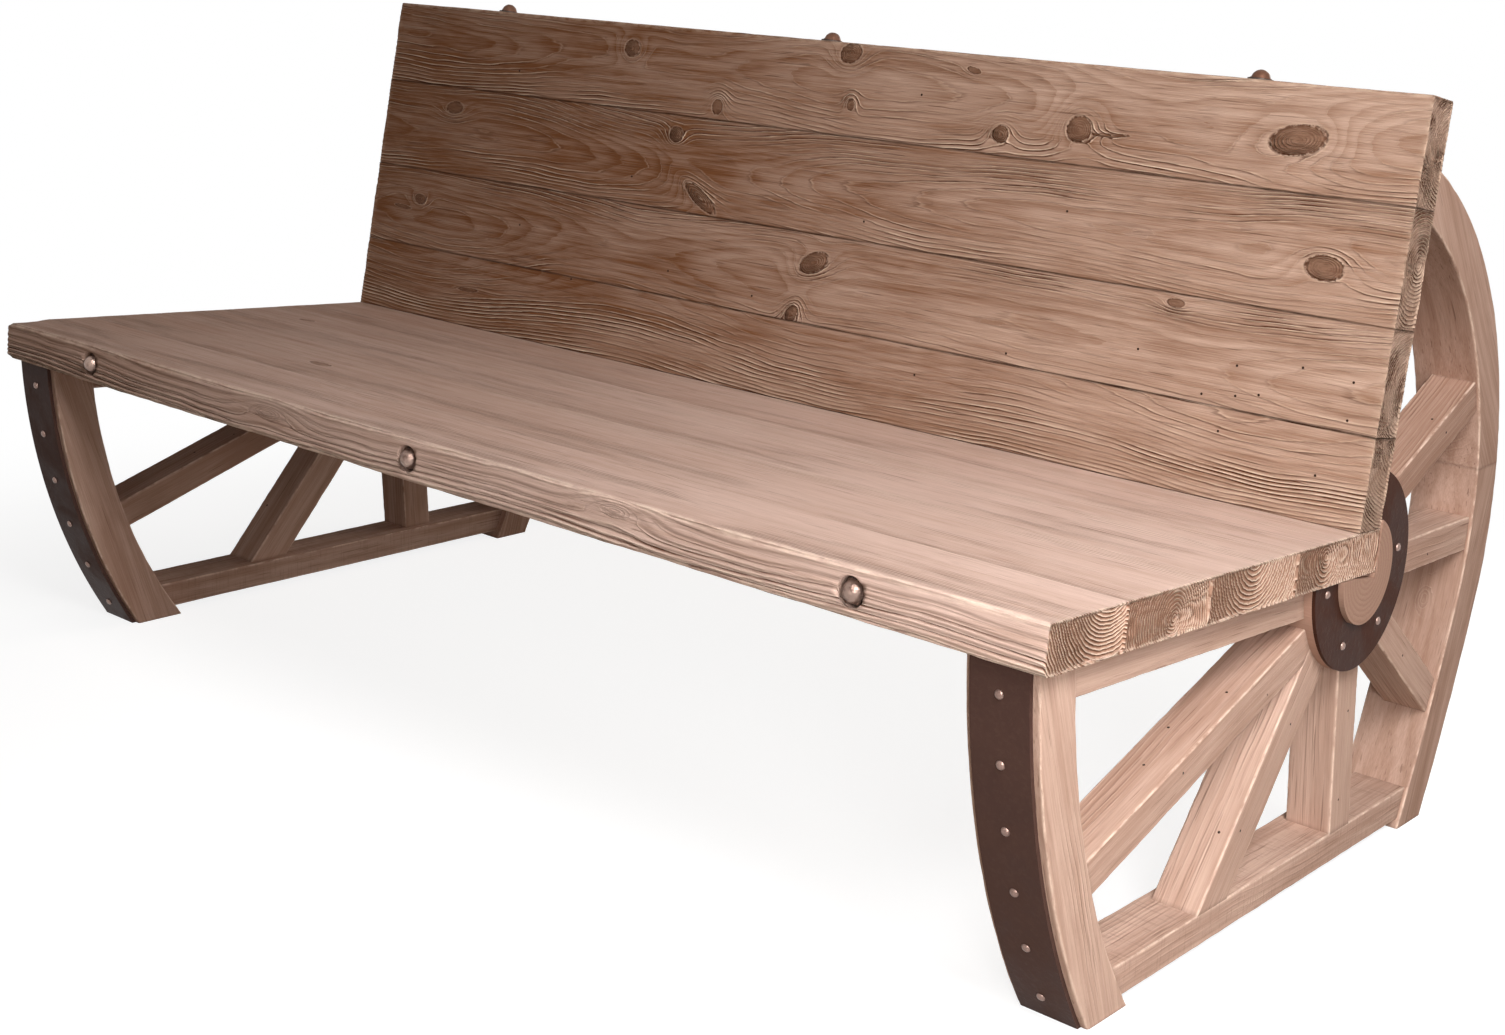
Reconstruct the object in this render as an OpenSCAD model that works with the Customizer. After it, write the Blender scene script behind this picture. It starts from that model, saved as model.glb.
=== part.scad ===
// Wagon wheel bench: planked seat and back carried by two wheel-built end frames.
// Origin on the floor, midway along the bench and midway front to back.
// +X runs along the bench, +Y to the back, +Z up.

/* [Seat] */
// Length of the bench
seat_len = 1700; // [1500:10:2000]
// Height of the seat's front top edge above the floor
seat_height = 440; // [420:5:480]
// Fall of the seat towards the back, in degrees
seat_slope = 2.85; // [1.5:0.05:4]
// Thickness of the seat planks
seat_thick = 50; // [44:1:56]
// Depth of the front seat plank
seat_plank_1_deep = 132; // [120:1:150]
// Depth of the second seat plank
seat_plank_2_deep = 156; // [140:1:175]
// Depth of the third seat plank
seat_plank_3_deep = 183; // [165:1:200]
// Depth of the rear seat plank
seat_plank_4_deep = 195; // [180:1:215]
// Worn bevel on the seat's outer edges
seat_edge = 4; // [1:0.5:8]

/* [Back] */
// Lean of the back from upright, in degrees
back_lean = 8.7; // [6:0.1:12]
// Thickness of the back planks
back_thick = 54; // [46:1:60]
// Height of the top back plank
back_plank_1_high = 122; // [110:1:135]
// Height of the second back plank
back_plank_2_high = 132; // [115:1:145]
// Height of the third back plank
back_plank_3_high = 119; // [105:1:130]
// Height of the lowest back plank
back_plank_4_high = 105; // [95:1:120]
// Bevel along the edges of the back planks
back_edge = 1.5; // [0.5:0.5:3]

/* [Rim] */
// Seat end past the outer face of the wheel rim
rim_inset = 15; // [8:1:30]
// Width of the felloes along the bench
felloe_wide = 81; // [70:1:90]
// Depth of the felloes, from tyre to spokes
felloe_deep = 58.5; // [52:0.5:64]
// Foremost point of the front felloe behind the seat's front edge
front_setback = 11; // [8:1:20]
// Radius of the front felloe's outer face
front_arc_r = 817; // [760:1:900]
// Centre of the front arc above the seat's front edge
front_arc_rise = 11; // [-10:1:30]
// Rearmost point of the tyre behind the seat's rear edge
rear_overhang = 360; // [340:5:380]
// Radius of the rear rim's outer face
rear_arc_r = 449; // [435:1:465]
// Centre of the rear arc below the seat's front edge
rear_arc_drop = 54; // [44:1:64]
// Radius of the rear rim below its turn
rear_leg_r = 2385; // [1800:5:3000]
// Turn of the rear rim below level where its leg begins, in degrees
rear_leg_turn = 18.6; // [15:0.1:22]
// Height of the joint between the two rear felloes
felloe_joint_z = 424; // [415:1:440]
// Radius of the dowel in that joint
felloe_dowel_r = 7; // [5:0.5:9]
// Depth of that dowel in each felloe
felloe_dowel_deep = 32; // [20:1:40]

/* [Tyre] */
// Thickness of the iron tyres
tyre_thick = 5; // [3:0.5:8]
// Bare wood on each side of a tyre
tyre_margin = 8; // [4:1:14]
// Top end of the rear tyre above level, in degrees
rear_tyre_turn = 56; // [45:1:60]
// Distance between studs along a tyre
stud_pitch = 70; // [55:1:90]
// First stud from the end of its tyre
stud_first = 31; // [20:1:45]
// Least height of a stud above the floor
stud_low = 18; // [12:1:30]
// Radius of a stud's head
stud_r = 5; // [4:0.5:8]
// Height of a stud's head
stud_high = 3; // [2:0.5:4]
// Radius of a stud's nail
stud_nail_r = 2; // [1.5:0.1:2.5]
// Depth of a stud's nail under its head
stud_nail_deep = 24; // [15:1:35]

/* [Hub] */
// Radius of the hub barrel and its iron ring
hub_r = 113; // [105:1:120]
// Hub centre ahead of the seat's rear edge
hub_ahead = 24; // [15:1:35]
// Hub centre above the seat's underside
hub_above = 4; // [0:1:10]
// Barrel face past the spokes' outer face
barrel_proud = 9; // [5:1:14]
// Thickness of the iron ring
ring_thick = 4; // [3:0.5:6]
// Inner radius of the iron ring
ring_in_r = 60; // [50:1:70]
// Radius of the bore for the wooden boss
bore_r = 38; // [30:1:45]
// Depth of the boss in that bore
boss_deep = 50; // [30:1:60]
// First ring stud's angle from straight back, in degrees
ring_stud_turn = 7; // [0:1:15]
// Turn from one ring stud to the next, in degrees
ring_stud_step = 60; // [50:1:60]
// Radius of the circle of ring studs
ring_stud_pcr = 86; // [80:1:95]

/* [Spokes] */
// Thickness of the spokes along the bench
spoke_thick = 55; // [45:1:60]
// Rim's outer face past the spokes' outer face
spoke_inset = 4; // [2:1:8]
// Angle of the front low spoke from straight back, in degrees
front_low_turn = 198.3; // [197:0.1:200]
// Side shift of the front low spoke from the hub centre
front_low_shift = 35; // [30:1:38]
// Width of the front low spoke
front_low_wide = 41; // [36:1:44]
// Angle of the front steep spoke, in degrees
front_steep_turn = 230.4; // [228:0.1:233]
// Side shift of the front steep spoke
front_steep_shift = 6; // [0:1:12]
// Width of the front steep spoke
front_steep_wide = 50; // [44:1:54]
// Angle of the upright spoke, in degrees
upright_turn = 276; // [273:0.5:280]
// Side shift of the upright spoke
upright_shift = 6; // [0:1:10]
// Width of the upright spoke
upright_wide = 50; // [44:1:54]
// Angle of the rear low spoke, in degrees
rear_low_turn = -37.3; // [-40:0.1:-34]
// Side shift of the rear low spoke
rear_low_shift = -10; // [-14:1:0]
// Width of the rear low spoke
rear_low_wide = 41; // [36:1:46]
// Angle of the rear level spoke, in degrees
rear_level_turn = -1.2; // [-3:0.1:1]
// Side shift of the rear level spoke
rear_level_shift = -12; // [-16:1:-6]
// Width of the rear level spoke
rear_level_wide = 41; // [36:1:46]
// Angle of the rear high spoke, in degrees
rear_high_turn = 23.5; // [22:0.1:26]
// Side shift of the rear high spoke
rear_high_shift = 22; // [18:1:26]
// Width of the rear high spoke
rear_high_wide = 41; // [36:1:44]
// Width of the tenons on the spokes and rails
tenon_wide = 18; // [12:1:22]
// Thickness of those tenons along the bench
tenon_thick = 28; // [20:1:34]
// Depth of a tenon in the rim
rim_tenon_deep = 34; // [25:1:40]
// Depth of a tenon in the hub
hub_tenon_deep = 28; // [20:1:32]
// Depth of a tenon in the bottom rail
rail_tenon_deep = 22; // [15:1:25]

/* [Rails] */
// Height of the seat rail under the planks
seat_rail_high = 38; // [32:1:42]
// Height of the bottom rail
bottom_rail_high = 36; // [32:1:42]
// Thickness of the bottom rail along the bench
bottom_rail_thick = 66; // [58:1:74]
// Gap between the bottom rail and the floor
bottom_rail_gap = 10; // [6:1:16]

/* [Fasteners] */
// Radius of the tie rods
rod_r = 6; // [5:0.5:8]
// Left seat bolt's place from the middle
seat_bolt_left = -645; // [-680:5:-600]
// Middle seat bolt's place from the middle
seat_bolt_mid = -5; // [-30:1:30]
// Right seat bolt's place from the middle
seat_bolt_right = 630; // [600:5:680]
// Left back rod's place from the middle
back_rod_left = -629; // [-680:1:-600]
// Middle back rod's place from the middle
back_rod_mid = 2; // [-30:1:30]
// Right back rod's place from the middle
back_rod_right = 630; // [600:5:680]
// Radius of the counterbores
sink_r = 16; // [14:0.5:18]
// Depth of the counterbores
sink_deep = 14; // [13:0.5:20]
// Radius of the domed bolt heads and nuts
dome_r = 12.5; // [9:0.5:13]
// Height of the domed bolt heads and nuts
dome_high = 11; // [8:0.5:12.5]
// Radius of the hexagon flanges under the seat bolts' domes, across the corners
flange_r = 14.5; // [11:0.5:15.5]
// Height of these flanges
flange_high = 6; // [3:0.5:8]
// Radius of the washers
washer_r = 15; // [13.5:0.5:16]
// Thickness of the washers
washer_thick = 2.5; // [1.5:0.5:4]
// Radius of the hexagon nuts, across the corners
nut_r = 11; // [9.5:0.5:13]
// Height of the hexagon nuts
nut_high = 9; // [6:0.5:10]
// Radius of the lag screws under the seat
lag_r = 4; // [3:0.5:5]
// Depth of the lag screws in the planks
lag_deep = 34; // [25:1:40]
// Radius of a lag screw's head, across the corners
lag_head_r = 7; // [6:0.5:9]
// Height of a lag screw's head
lag_head_high = 5.5; // [4:0.5:7]
// Radius of the counterbore for a lag screw's head
lag_sink_r = 10; // [9.5:0.5:12]
// Depth of that counterbore
lag_sink_deep = 8; // [7:0.5:12]
// Lag screw from the joint of its plank, front and rear
lag_edge = 32; // [25:1:40]
// Radius of the dowels under the back
foot_dowel_r = 9; // [6:0.5:12]
// Depth of these dowels in the seat
foot_dowel_down = 30; // [20:1:36]
// Depth of these dowels in the back
foot_dowel_up = 45; // [30:1:60]
// Place of the outer dowels from the middle
foot_dowel_far = 760; // [680:5:780]
// Place of the inner dowels from the middle
foot_dowel_near = 315; // [250:5:380]
// Radius of the dowels between back and rim
rim_dowel_r = 8; // [5:0.5:10]
// Depth of these dowels in the back
rim_dowel_fore = 34; // [20:1:42]
// Depth of these dowels in the rim
rim_dowel_aft = 36; // [20:1:42]
// Clearance of round pieces in their holes
round_fit = 0.3; // [0.1:0.05:0.5]
// Clearance of the studs' nails in their holes
nail_fit = 0.1; // [0.05:0.05:0.3]
// Clearance round tenons and where spokes meet
joint_fit = 0.3; // [0.1:0.05:0.5]

/* [Hidden] */
SIDES = ["left", "right"];

WOOD_SEAT = [0.80, 0.68, 0.58];
WOOD_BACK = [0.60, 0.46, 0.36];
WOOD_FRAME = [0.76, 0.62, 0.52];
WOOD_PEG = [0.66, 0.52, 0.38];
IRON = [0.28, 0.21, 0.18];
STUD = [0.52, 0.42, 0.37];
BOLT = [0.45, 0.33, 0.26];

// Reach of cutting solids past the bench
far = 1200;
// Cuts run this far past the faces they open
cut = 1;
eighth = 45;
per_radian = 180 / PI;

seat_deep = seat_plank_1_deep + seat_plank_2_deep + seat_plank_3_deep + seat_plank_4_deep;
back_high = back_plank_1_high + back_plank_2_high + back_plank_3_high + back_plank_4_high;

// Front edge and rear edge of the seat, so that the origin is midway front to back
front_foot = seat_thick * sin(seat_slope);
overall_deep = front_foot + seat_deep * cos(seat_slope) + rear_overhang;
front_y = front_foot - overall_deep / 2;
rear_y = front_y + seat_deep * cos(seat_slope);

// Back's foot on the seat: its rear bottom edge stands on the seat's rear edge
back_to_seat = back_lean - seat_slope;
back_foot_u = seat_deep - back_thick / cos(back_to_seat);
back_foot = [front_y + back_foot_u * cos(seat_slope),
             seat_height - back_foot_u * sin(seat_slope)];

x_out = seat_len / 2 - rim_inset;
x_in = x_out - felloe_wide;
x_mid = (x_out + x_in) / 2;
spoke_x_out = x_out - spoke_inset;
spoke_x_mid = spoke_x_out - spoke_thick / 2;

front_c = [front_y + front_setback + front_arc_r, seat_height + front_arc_rise];
rear_c = [rear_y + rear_overhang - tyre_thick - rear_arc_r, seat_height - rear_arc_drop];
leg_c = rear_c + (rear_arc_r - rear_leg_r) * [cos(rear_leg_turn), -sin(rear_leg_turn)];

// Height of the seat's underside at a place front to back
function under(y) = seat_height - (y - front_y) * tan(seat_slope) - seat_thick / cos(seat_slope);

hub_y = rear_y - hub_ahead;
hub_c = [hub_y, under(hub_y) + hub_above];
barrel_x_out = spoke_x_out + barrel_proud;
barrel_x_in = spoke_x_out - spoke_thick - barrel_proud;
boss_x_out = seat_len / 2;

rail_top = bottom_rail_gap + bottom_rail_high;
rail_mid = bottom_rail_gap + bottom_rail_high / 2;

// The seat rail is laid like a spoke, square under the planks
seat_rail_turn = 180 - seat_slope;
seat_rail_shift = (hub_above + seat_rail_high / 2 / cos(seat_slope)) * cos(seat_slope);

function dir(turn) = [cos(turn), sin(turn)];
function side(turn) = [-sin(turn), cos(turn)];
// Distance along a ray, from inside a circle to the circle
function to_circle(p, d, c, r) =
    let(b = (p - c) * d, q = (p - c) * (p - c) - r * r) -b + sqrt(b * b - q);
function spoke_start(turn, shift) = hub_c + shift * side(turn);
function to_front(turn, shift) =
    to_circle(spoke_start(turn, shift), dir(turn), front_c, front_arc_r - felloe_deep);
function to_rear(turn, shift) =
    to_circle(spoke_start(turn, shift), dir(turn), rear_c, rear_arc_r - felloe_deep);
function to_leg(turn, shift) =
    to_circle(spoke_start(turn, shift), dir(turn), leg_c, rear_leg_r - felloe_deep);
function to_rail(turn, shift) = (rail_top - spoke_start(turn, shift)[1]) / sin(turn);

// Each spoke as [turn, shift, width, length to the rim or rail, tenon depth there]
FRONT_LOW = [front_low_turn, front_low_shift, front_low_wide,
             to_front(front_low_turn, front_low_shift), rim_tenon_deep];
FRONT_STEEP = [front_steep_turn, front_steep_shift, front_steep_wide,
               to_rail(front_steep_turn, front_steep_shift), rail_tenon_deep];
UPRIGHT = [upright_turn, upright_shift, upright_wide,
           to_rail(upright_turn, upright_shift), rail_tenon_deep];
REAR_LOW = [rear_low_turn, rear_low_shift, rear_low_wide,
            to_leg(rear_low_turn, rear_low_shift), rim_tenon_deep];
REAR_LEVEL = [rear_level_turn, rear_level_shift, rear_level_wide,
              to_rear(rear_level_turn, rear_level_shift), rim_tenon_deep];
REAR_HIGH = [rear_high_turn, rear_high_shift, rear_high_wide,
             to_rear(rear_high_turn, rear_high_shift), rim_tenon_deep];
SEAT_RAIL = [seat_rail_turn, seat_rail_shift, seat_rail_high,
             to_front(seat_rail_turn, seat_rail_shift), rim_tenon_deep];

seat_bolts = [seat_bolt_left, seat_bolt_mid, seat_bolt_right];
back_rods = [back_rod_left, back_rod_mid, back_rod_right];
foot_dowels = [-foot_dowel_far, -foot_dowel_near, foot_dowel_near, foot_dowel_far];
lag_places = [seat_plank_1_deep - lag_edge,
              seat_plank_1_deep + seat_plank_2_deep / 2,
              seat_plank_1_deep + seat_plank_2_deep + seat_plank_3_deep / 2,
              seat_plank_1_deep + seat_plank_2_deep + seat_plank_3_deep + lag_edge];

// Stud angles on the front tyre, from under the seat down to the floor
front_stud_step = stud_pitch / front_arc_r * per_radian;
front_stud_top = asin((under(front_y) - stud_first - front_c[1]) / front_arc_r);
front_studs = [for (a = [front_stud_top : -front_stud_step : -60])
               if (front_c[1] + front_arc_r * sin(a) > stud_low) 180 - a];

// Stud angles on the rear tyre, on its arc and then on its leg
rear_stud_step = stud_pitch / rear_arc_r * per_radian;
rear_stud_top = rear_tyre_turn - stud_first / rear_arc_r * per_radian;
rear_studs = [for (a = [rear_stud_top : -rear_stud_step : -rear_leg_turn]) a];
leg_stud_step = stud_pitch / rear_leg_r * per_radian;
leg_stud_top = -rear_leg_turn
    - (stud_pitch / rear_arc_r * per_radian - (rear_studs[len(rear_studs) - 1] + rear_leg_turn))
      * rear_arc_r / rear_leg_r;
leg_studs = [for (a = [leg_stud_top : -leg_stud_step : -60])
             if (leg_c[1] + rear_leg_r * sin(a) > stud_low) a];

hub_studs = [for (k = [0 : 3]) ring_stud_turn - ring_stud_step * k];

// Round bar along the bench, centred on a point of the frame's side view
module disc(c, r, x0, x1, sides = 180) {
    translate([x0, c[0], c[1]]) rotate([0, 90, 0]) cylinder(r = r, h = x1 - x0, $fn = sides);
}

// Round hole or rod along +Z
module rod(r, h) {
    cylinder(r = r, h = h, $fn = 48);
}

// Plank along the bench: its cross-section runs to +Y and +Z, with a bevel at each chosen side
module plank(deep, high, fore, aft) {
    translate([-seat_len / 2, 0, 0]) rotate([90, 0, 90]) linear_extrude(seat_len)
        polygon([[fore, 0], [deep - aft, 0], [deep, aft], [deep, high - aft],
                 [deep - aft, high], [fore, high], [0, high - fore], [0, fore]]);
}

module in_seat() {
    translate([0, front_y, seat_height]) rotate([-seat_slope, 0, 0]) children();
}

module in_back() {
    translate([0, back_foot[0], back_foot[1]]) rotate([-back_lean, 0, 0]) children();
}

module on_right() {
    children();
}

module on_left() {
    mirror([1, 0, 0]) children();
}

// All that lies in front of the back's rear face, and above the seat's underside
module seat_room() {
    in_seat() translate([-far, -far, -seat_thick]) cube([2 * far, far + seat_deep, 2 * far]);
}

module back_room() {
    in_back() translate([-far, -far, -seat_thick]) cube([2 * far, far + back_thick, 2 * far]);
}

// Band of the rear rim's curve: an arc above the turn, a flatter leg below it.
// It is made level, with the turn's plane at z = 0, and then tilted into place.
module rear_band(outer, inner, x0, x1) {
    at_turn() union() {
        intersection() {
            ring_bar(rear_arc_r, outer, inner, 0, x0, x1, 180);
            translate([x0 - cut, -rear_arc_r / 2, 0]) cube([x1 - x0 + 2 * cut, far, far]);
        }
        intersection() {
            ring_bar(rear_leg_r, outer, inner, rear_arc_r - rear_leg_r, x0, x1, 720);
            translate([x0 - cut, 0, -far]) cube([x1 - x0 + 2 * cut, far, far]);
        }
    }
}

// Ring along the bench between two offsets of a radius, its centre shifted front to back
module ring_bar(r, outer, inner, shift, x0, x1, sides) {
    difference() {
        disc([shift, 0], r + outer, x0, x1, sides);
        disc([shift, 0], r + inner, x0 - cut, x1 + cut, sides);
    }
}

// From the rear arc's centre, with +Y towards the turn between arc and leg
module at_turn() {
    translate([0, rear_c[0], rear_c[1]]) rotate([-rear_leg_turn, 0, 0]) children();
}

// Space inside the rear rim, seen from its arc and from its leg
module arc_room() {
    at_turn() disc([0, 0], rear_arc_r - felloe_deep, x_in, x_out, 180);
}

module leg_room() {
    at_turn() disc([rear_arc_r - rear_leg_r, 0], rear_leg_r - felloe_deep, x_in, x_out, 720);
}

module front_room(inside, x0, x1) {
    disc(front_c, front_arc_r - inside, x0, x1, 360);
}

// Between two heights, on all sides
module between(z0, z1) {
    translate([0, -far, z0]) cube([far, 2 * far, z1 - z0]);
}

// Cuts for bolts and rods

module seat_bolt_holes() {
    for (x = seat_bolts) in_seat() translate([x, 0, -seat_thick / 2]) rotate([-90, 0, 0]) {
        translate([0, 0, -cut]) rod(rod_r + round_fit, seat_deep + 2 * cut);
        translate([0, 0, -cut]) rod(sink_r, sink_deep + cut);
        translate([0, 0, seat_deep - sink_deep]) rod(sink_r, sink_deep + cut);
    }
}

module back_rod_holes() {
    for (x = back_rods) in_back() translate([x, back_thick / 2, -cut]) {
        rod(rod_r + round_fit, back_high + 2 * cut);
        rod(sink_r, back_sink + cut);
    }
}

module foot_dowel_rods(grow) {
    for (x = foot_dowels) in_back()
        translate([x, back_thick / 2, -foot_dowel_down - grow])
            rod(foot_dowel_r + grow, foot_dowel_down + foot_dowel_up + 2 * grow);
}

// Height of the recess under the back, which starts at the seat's top
back_sink = sink_deep + back_thick / 2 * tan(back_to_seat) + nut_high - washer_thick;

module rim_dowel_rod(grow) {
    for (m = [0, 1]) mirror([m, 0, 0]) in_back()
        translate([x_mid, back_thick - rim_dowel_fore - grow, rim_dowel_h]) rotate([-90, 0, 0])
            rod(rim_dowel_r + grow, rim_dowel_fore + rim_dowel_aft + 2 * grow);
}

// Height up the back at which the rim's mid line meets its rear face
back_rear_foot = back_foot + back_thick * [cos(back_lean), -sin(back_lean)];
rim_dowel_h = to_circle(back_rear_foot, [sin(back_lean), cos(back_lean)],
                        rear_c, rear_arc_r - felloe_deep / 2);

module lag_screws(grow, head_r, head_high, length) {
    for (m = [0, 1]) mirror([m, 0, 0])
        for (u = lag_places) in_seat()
            translate([spoke_x_mid, u, -seat_thick - seat_rail_high + lag_sink_deep]) {
                translate([0, 0, -head_high]) cylinder(r = head_r, h = head_high,
                                                       $fn = grow == 0 ? 6 : 48);
                rod(lag_r + grow, length);
            }
}

module lag_holes() {
    lag_screws(round_fit, lag_sink_r, lag_sink_deep + cut,
               seat_rail_high - lag_sink_deep + lag_deep + round_fit);
}

// Spherical cap of a base radius and height, base at z = 0
module cap(r, h) {
    ball = (r * r + h * h) / (2 * h);
    intersection() {
        translate([0, 0, h - ball]) sphere(r = ball, $fn = 64);
        cylinder(r = r + cut, h = h + cut, $fn = 48);
    }
}

// Headed nail, its head's underside at z = 0
module stud() {
    cap(stud_r, stud_high);
    translate([0, 0, -stud_nail_deep]) cylinder(r = stud_nail_r, h = stud_nail_deep + cut, $fn = 24);
}

module nail_hole() {
    translate([0, 0, -stud_nail_deep - nail_fit])
        cylinder(r = stud_nail_r + nail_fit, h = stud_nail_deep + nail_fit + cut, $fn = 24);
}

// Children stand outwards on a rim, at angles of its side view
module round_rim(c, r, turns, x) {
    for (a = turns) translate([x, c[0], c[1]]) rotate([a, 0, 0])
        translate([0, r, 0]) rotate([-90, 0, 0]) children();
}

module on_front_tyre() {
    round_rim(front_c, front_arc_r + tyre_thick, front_studs, x_mid) children();
}

module on_rear_tyre() {
    round_rim(rear_c, rear_arc_r + tyre_thick, rear_studs, x_mid) children();
    round_rim(leg_c, rear_leg_r + tyre_thick, leg_studs, x_mid) children();
}

module on_hub_ring() {
    for (a = hub_studs) translate([barrel_x_out + ring_thick, hub_c[0], hub_c[1]])
        rotate([a, 0, 0]) translate([0, ring_stud_pcr, 0]) rotate([0, 90, 0]) children();
}

// Spokes

// Plain bar of a spoke, from the hub's centre outwards
module spoke_bar(s, grow = 0) {
    translate([spoke_x_mid, hub_c[0], hub_c[1]]) rotate([s[0], 0, 0])
        translate([-spoke_thick / 2 - grow, 0, s[1] - s[2] / 2 - grow])
            cube([spoke_thick + 2 * grow, s[3] + felloe_deep, s[2] + 2 * grow]);
}

// Tenons of a spoke, one long bar from inside the hub to inside the rim
module spoke_tenon(s, grow = 0) {
    inner = sqrt(hub_r * hub_r - s[1] * s[1]) - hub_tenon_deep;
    translate([spoke_x_mid, hub_c[0], hub_c[1]]) rotate([s[0], 0, 0])
        translate([-tenon_thick / 2 - grow, inner - grow, s[1] - tenon_wide / 2 - grow])
            cube([tenon_thick + 2 * grow, s[3] + s[4] - inner + 2 * grow, tenon_wide + 2 * grow]);
}

module hub_disc() {
    disc(hub_c, hub_r, barrel_x_in - cut, barrel_x_out + cut);
}

// A spoke: its bar in the space of the children, clear of the hub, and its tenons
module spoke(s) {
    union() {
        difference() {
            intersection() {
                spoke_bar(s);
                children();
            }
            hub_disc();
        }
        spoke_tenon(s);
    }
}

// Bottom rail's tenons, into the front and rear felloes
module bottom_rail_tenon(grow = 0) {
    p = [hub_c[0], rail_mid];
    ahead = to_circle(p, [-1, 0], front_c, front_arc_r - felloe_deep) + rim_tenon_deep;
    behind = to_circle(p, [1, 0], leg_c, rear_leg_r - felloe_deep) + rim_tenon_deep;
    translate([rail_x_mid - tenon_thick / 2 - grow, p[0] - ahead - grow,
               rail_mid - tenon_wide / 2 - grow])
        cube([tenon_thick + 2 * grow, ahead + behind + 2 * grow, tenon_wide + 2 * grow]);
}

rail_x_mid = spoke_x_out - bottom_rail_thick / 2;

// Seat

module seat_plank(start, deep, fore, aft) {
    color(WOOD_SEAT) difference() {
        in_seat() translate([0, start, -seat_thick]) plank(deep, seat_thick, fore, aft);
        seat_bolt_holes();
        foot_dowel_rods(round_fit);
        lag_holes();
    }
}

module seat_plank_1() {
    seat_plank(0, seat_plank_1_deep, seat_edge, 0);
}

module seat_plank_2() {
    seat_plank(seat_plank_1_deep, seat_plank_2_deep, 0, 0);
}

module seat_plank_3() {
    seat_plank(seat_plank_1_deep + seat_plank_2_deep, seat_plank_3_deep, 0, 0);
}

module seat_plank_4() {
    seat_plank(seat_deep - seat_plank_4_deep, seat_plank_4_deep, 0, seat_edge);
}

// Domed heads on hexagon flanges at the front, with their rods, which end in the rear nuts
module seat_tie_bolts() {
    color(BOLT) for (x = seat_bolts) in_seat()
        translate([x, sink_deep - washer_thick, -seat_thick / 2]) {
            rotate([90, 0, 0]) {
                cylinder(r = flange_r, h = flange_high, $fn = 6);
                translate([0, 0, flange_high]) cap(min(dome_r, flange_r * cos(30)), dome_high);
            }
            rotate([-90, 0, 0]) rod(rod_r, seat_deep - 2 * (sink_deep - washer_thick) + nut_high);
        }
}

module seat_bolt_washers() {
    color(IRON) for (x = seat_bolts) in_seat()
        for (u = [sink_deep - washer_thick, seat_deep - sink_deep])
            translate([x, u, -seat_thick / 2]) rotate([-90, 0, 0]) ring(washer_r, washer_thick);
}

module seat_bolt_nuts() {
    color(IRON) for (x = seat_bolts) in_seat()
        translate([x, seat_deep - sink_deep + washer_thick, -seat_thick / 2])
            rotate([-90, 0, 0]) hex_nut();
}

module ring(r, h) {
    difference() {
        rod(r, h);
        translate([0, 0, -cut]) rod(rod_r + round_fit, h + 2 * cut);
    }
}

module hex_nut() {
    difference() {
        cylinder(r = nut_r, h = nut_high, $fn = 6);
        translate([0, 0, -cut]) rod(rod_r, nut_high + 2 * cut);
    }
}

// Back

module back_plank(start, high) {
    color(WOOD_BACK) difference() {
        in_back() translate([0, 0, start]) plank(back_thick, high, back_edge, back_edge);
        seat_room_below();
        back_rod_holes();
        foot_dowel_rods(round_fit);
        rim_dowel_rod(round_fit);
    }
}

// The seat's own space, which cuts the lowest plank's foot to the seat's fall
module seat_room_below() {
    in_seat() translate([-far, -cut, -far]) cube([2 * far, seat_deep + far, far]);
}

module back_plank_1() {
    back_plank(back_high - back_plank_1_high, back_plank_1_high);
}

module back_plank_2() {
    back_plank(back_plank_4_high + back_plank_3_high, back_plank_2_high);
}

module back_plank_3() {
    back_plank(back_plank_4_high, back_plank_3_high);
}

module back_plank_4() {
    back_plank(0, back_plank_4_high);
}

module back_tie_rods() {
    low = back_sink - washer_thick - nut_high;
    color(BOLT) for (x = back_rods) in_back()
        translate([x, back_thick / 2, low]) rod(rod_r, back_high - low + washer_thick + dome_high / 2);
}

module back_rod_washers() {
    color(IRON) for (x = back_rods) in_back()
        for (h = [back_sink - washer_thick, back_high])
            translate([x, back_thick / 2, h]) ring(washer_r, washer_thick);
}

module back_dome_nuts() {
    color(BOLT) for (x = back_rods) in_back()
        translate([x, back_thick / 2, back_high + washer_thick]) difference() {
            cap(dome_r, dome_high);
            translate([0, 0, -cut]) rod(rod_r, dome_high / 2 + cut);
        }
}

module back_rod_nuts() {
    color(IRON) for (x = back_rods) in_back()
        translate([x, back_thick / 2, back_sink - washer_thick - nut_high]) hex_nut();
}

module back_foot_dowels() {
    color(WOOD_PEG) foot_dowel_rods(0);
}

module seat_lag_screws() {
    color(IRON) lag_screws(0, lag_head_r, lag_head_high,
                           seat_rail_high - lag_sink_deep + lag_deep);
}

// End frame, as built on the right

module front_felloe() {
    color(WOOD_FRAME) difference() {
        intersection() {
            front_room(0, x_in, x_out);
            between(0, far);
            translate([0, -far, 0]) cube([far, far + hub_c[0] - hub_r, far]);
        }
        front_room(felloe_deep, x_in - cut, x_out + cut);
        seat_room();
        spoke_tenon(FRONT_LOW, joint_fit);
        spoke_tenon(SEAT_RAIL, joint_fit);
        bottom_rail_tenon(joint_fit);
        on_front_tyre() nail_hole();
    }
}

module rear_felloe(z0, z1) {
    color(WOOD_FRAME) difference() {
        intersection() {
            rear_band(0, -felloe_deep, x_in, x_out);
            between(z0, z1);
        }
        back_room();
        spoke_tenon(REAR_LOW, joint_fit);
        spoke_tenon(REAR_LEVEL, joint_fit);
        spoke_tenon(REAR_HIGH, joint_fit);
        bottom_rail_tenon(joint_fit);
        felloe_dowel_rod(round_fit);
        rim_dowel_rod(round_fit);
        on_rear_tyre() nail_hole();
    }
}

module rear_lower_felloe() {
    rear_felloe(0, felloe_joint_z);
}

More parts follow.
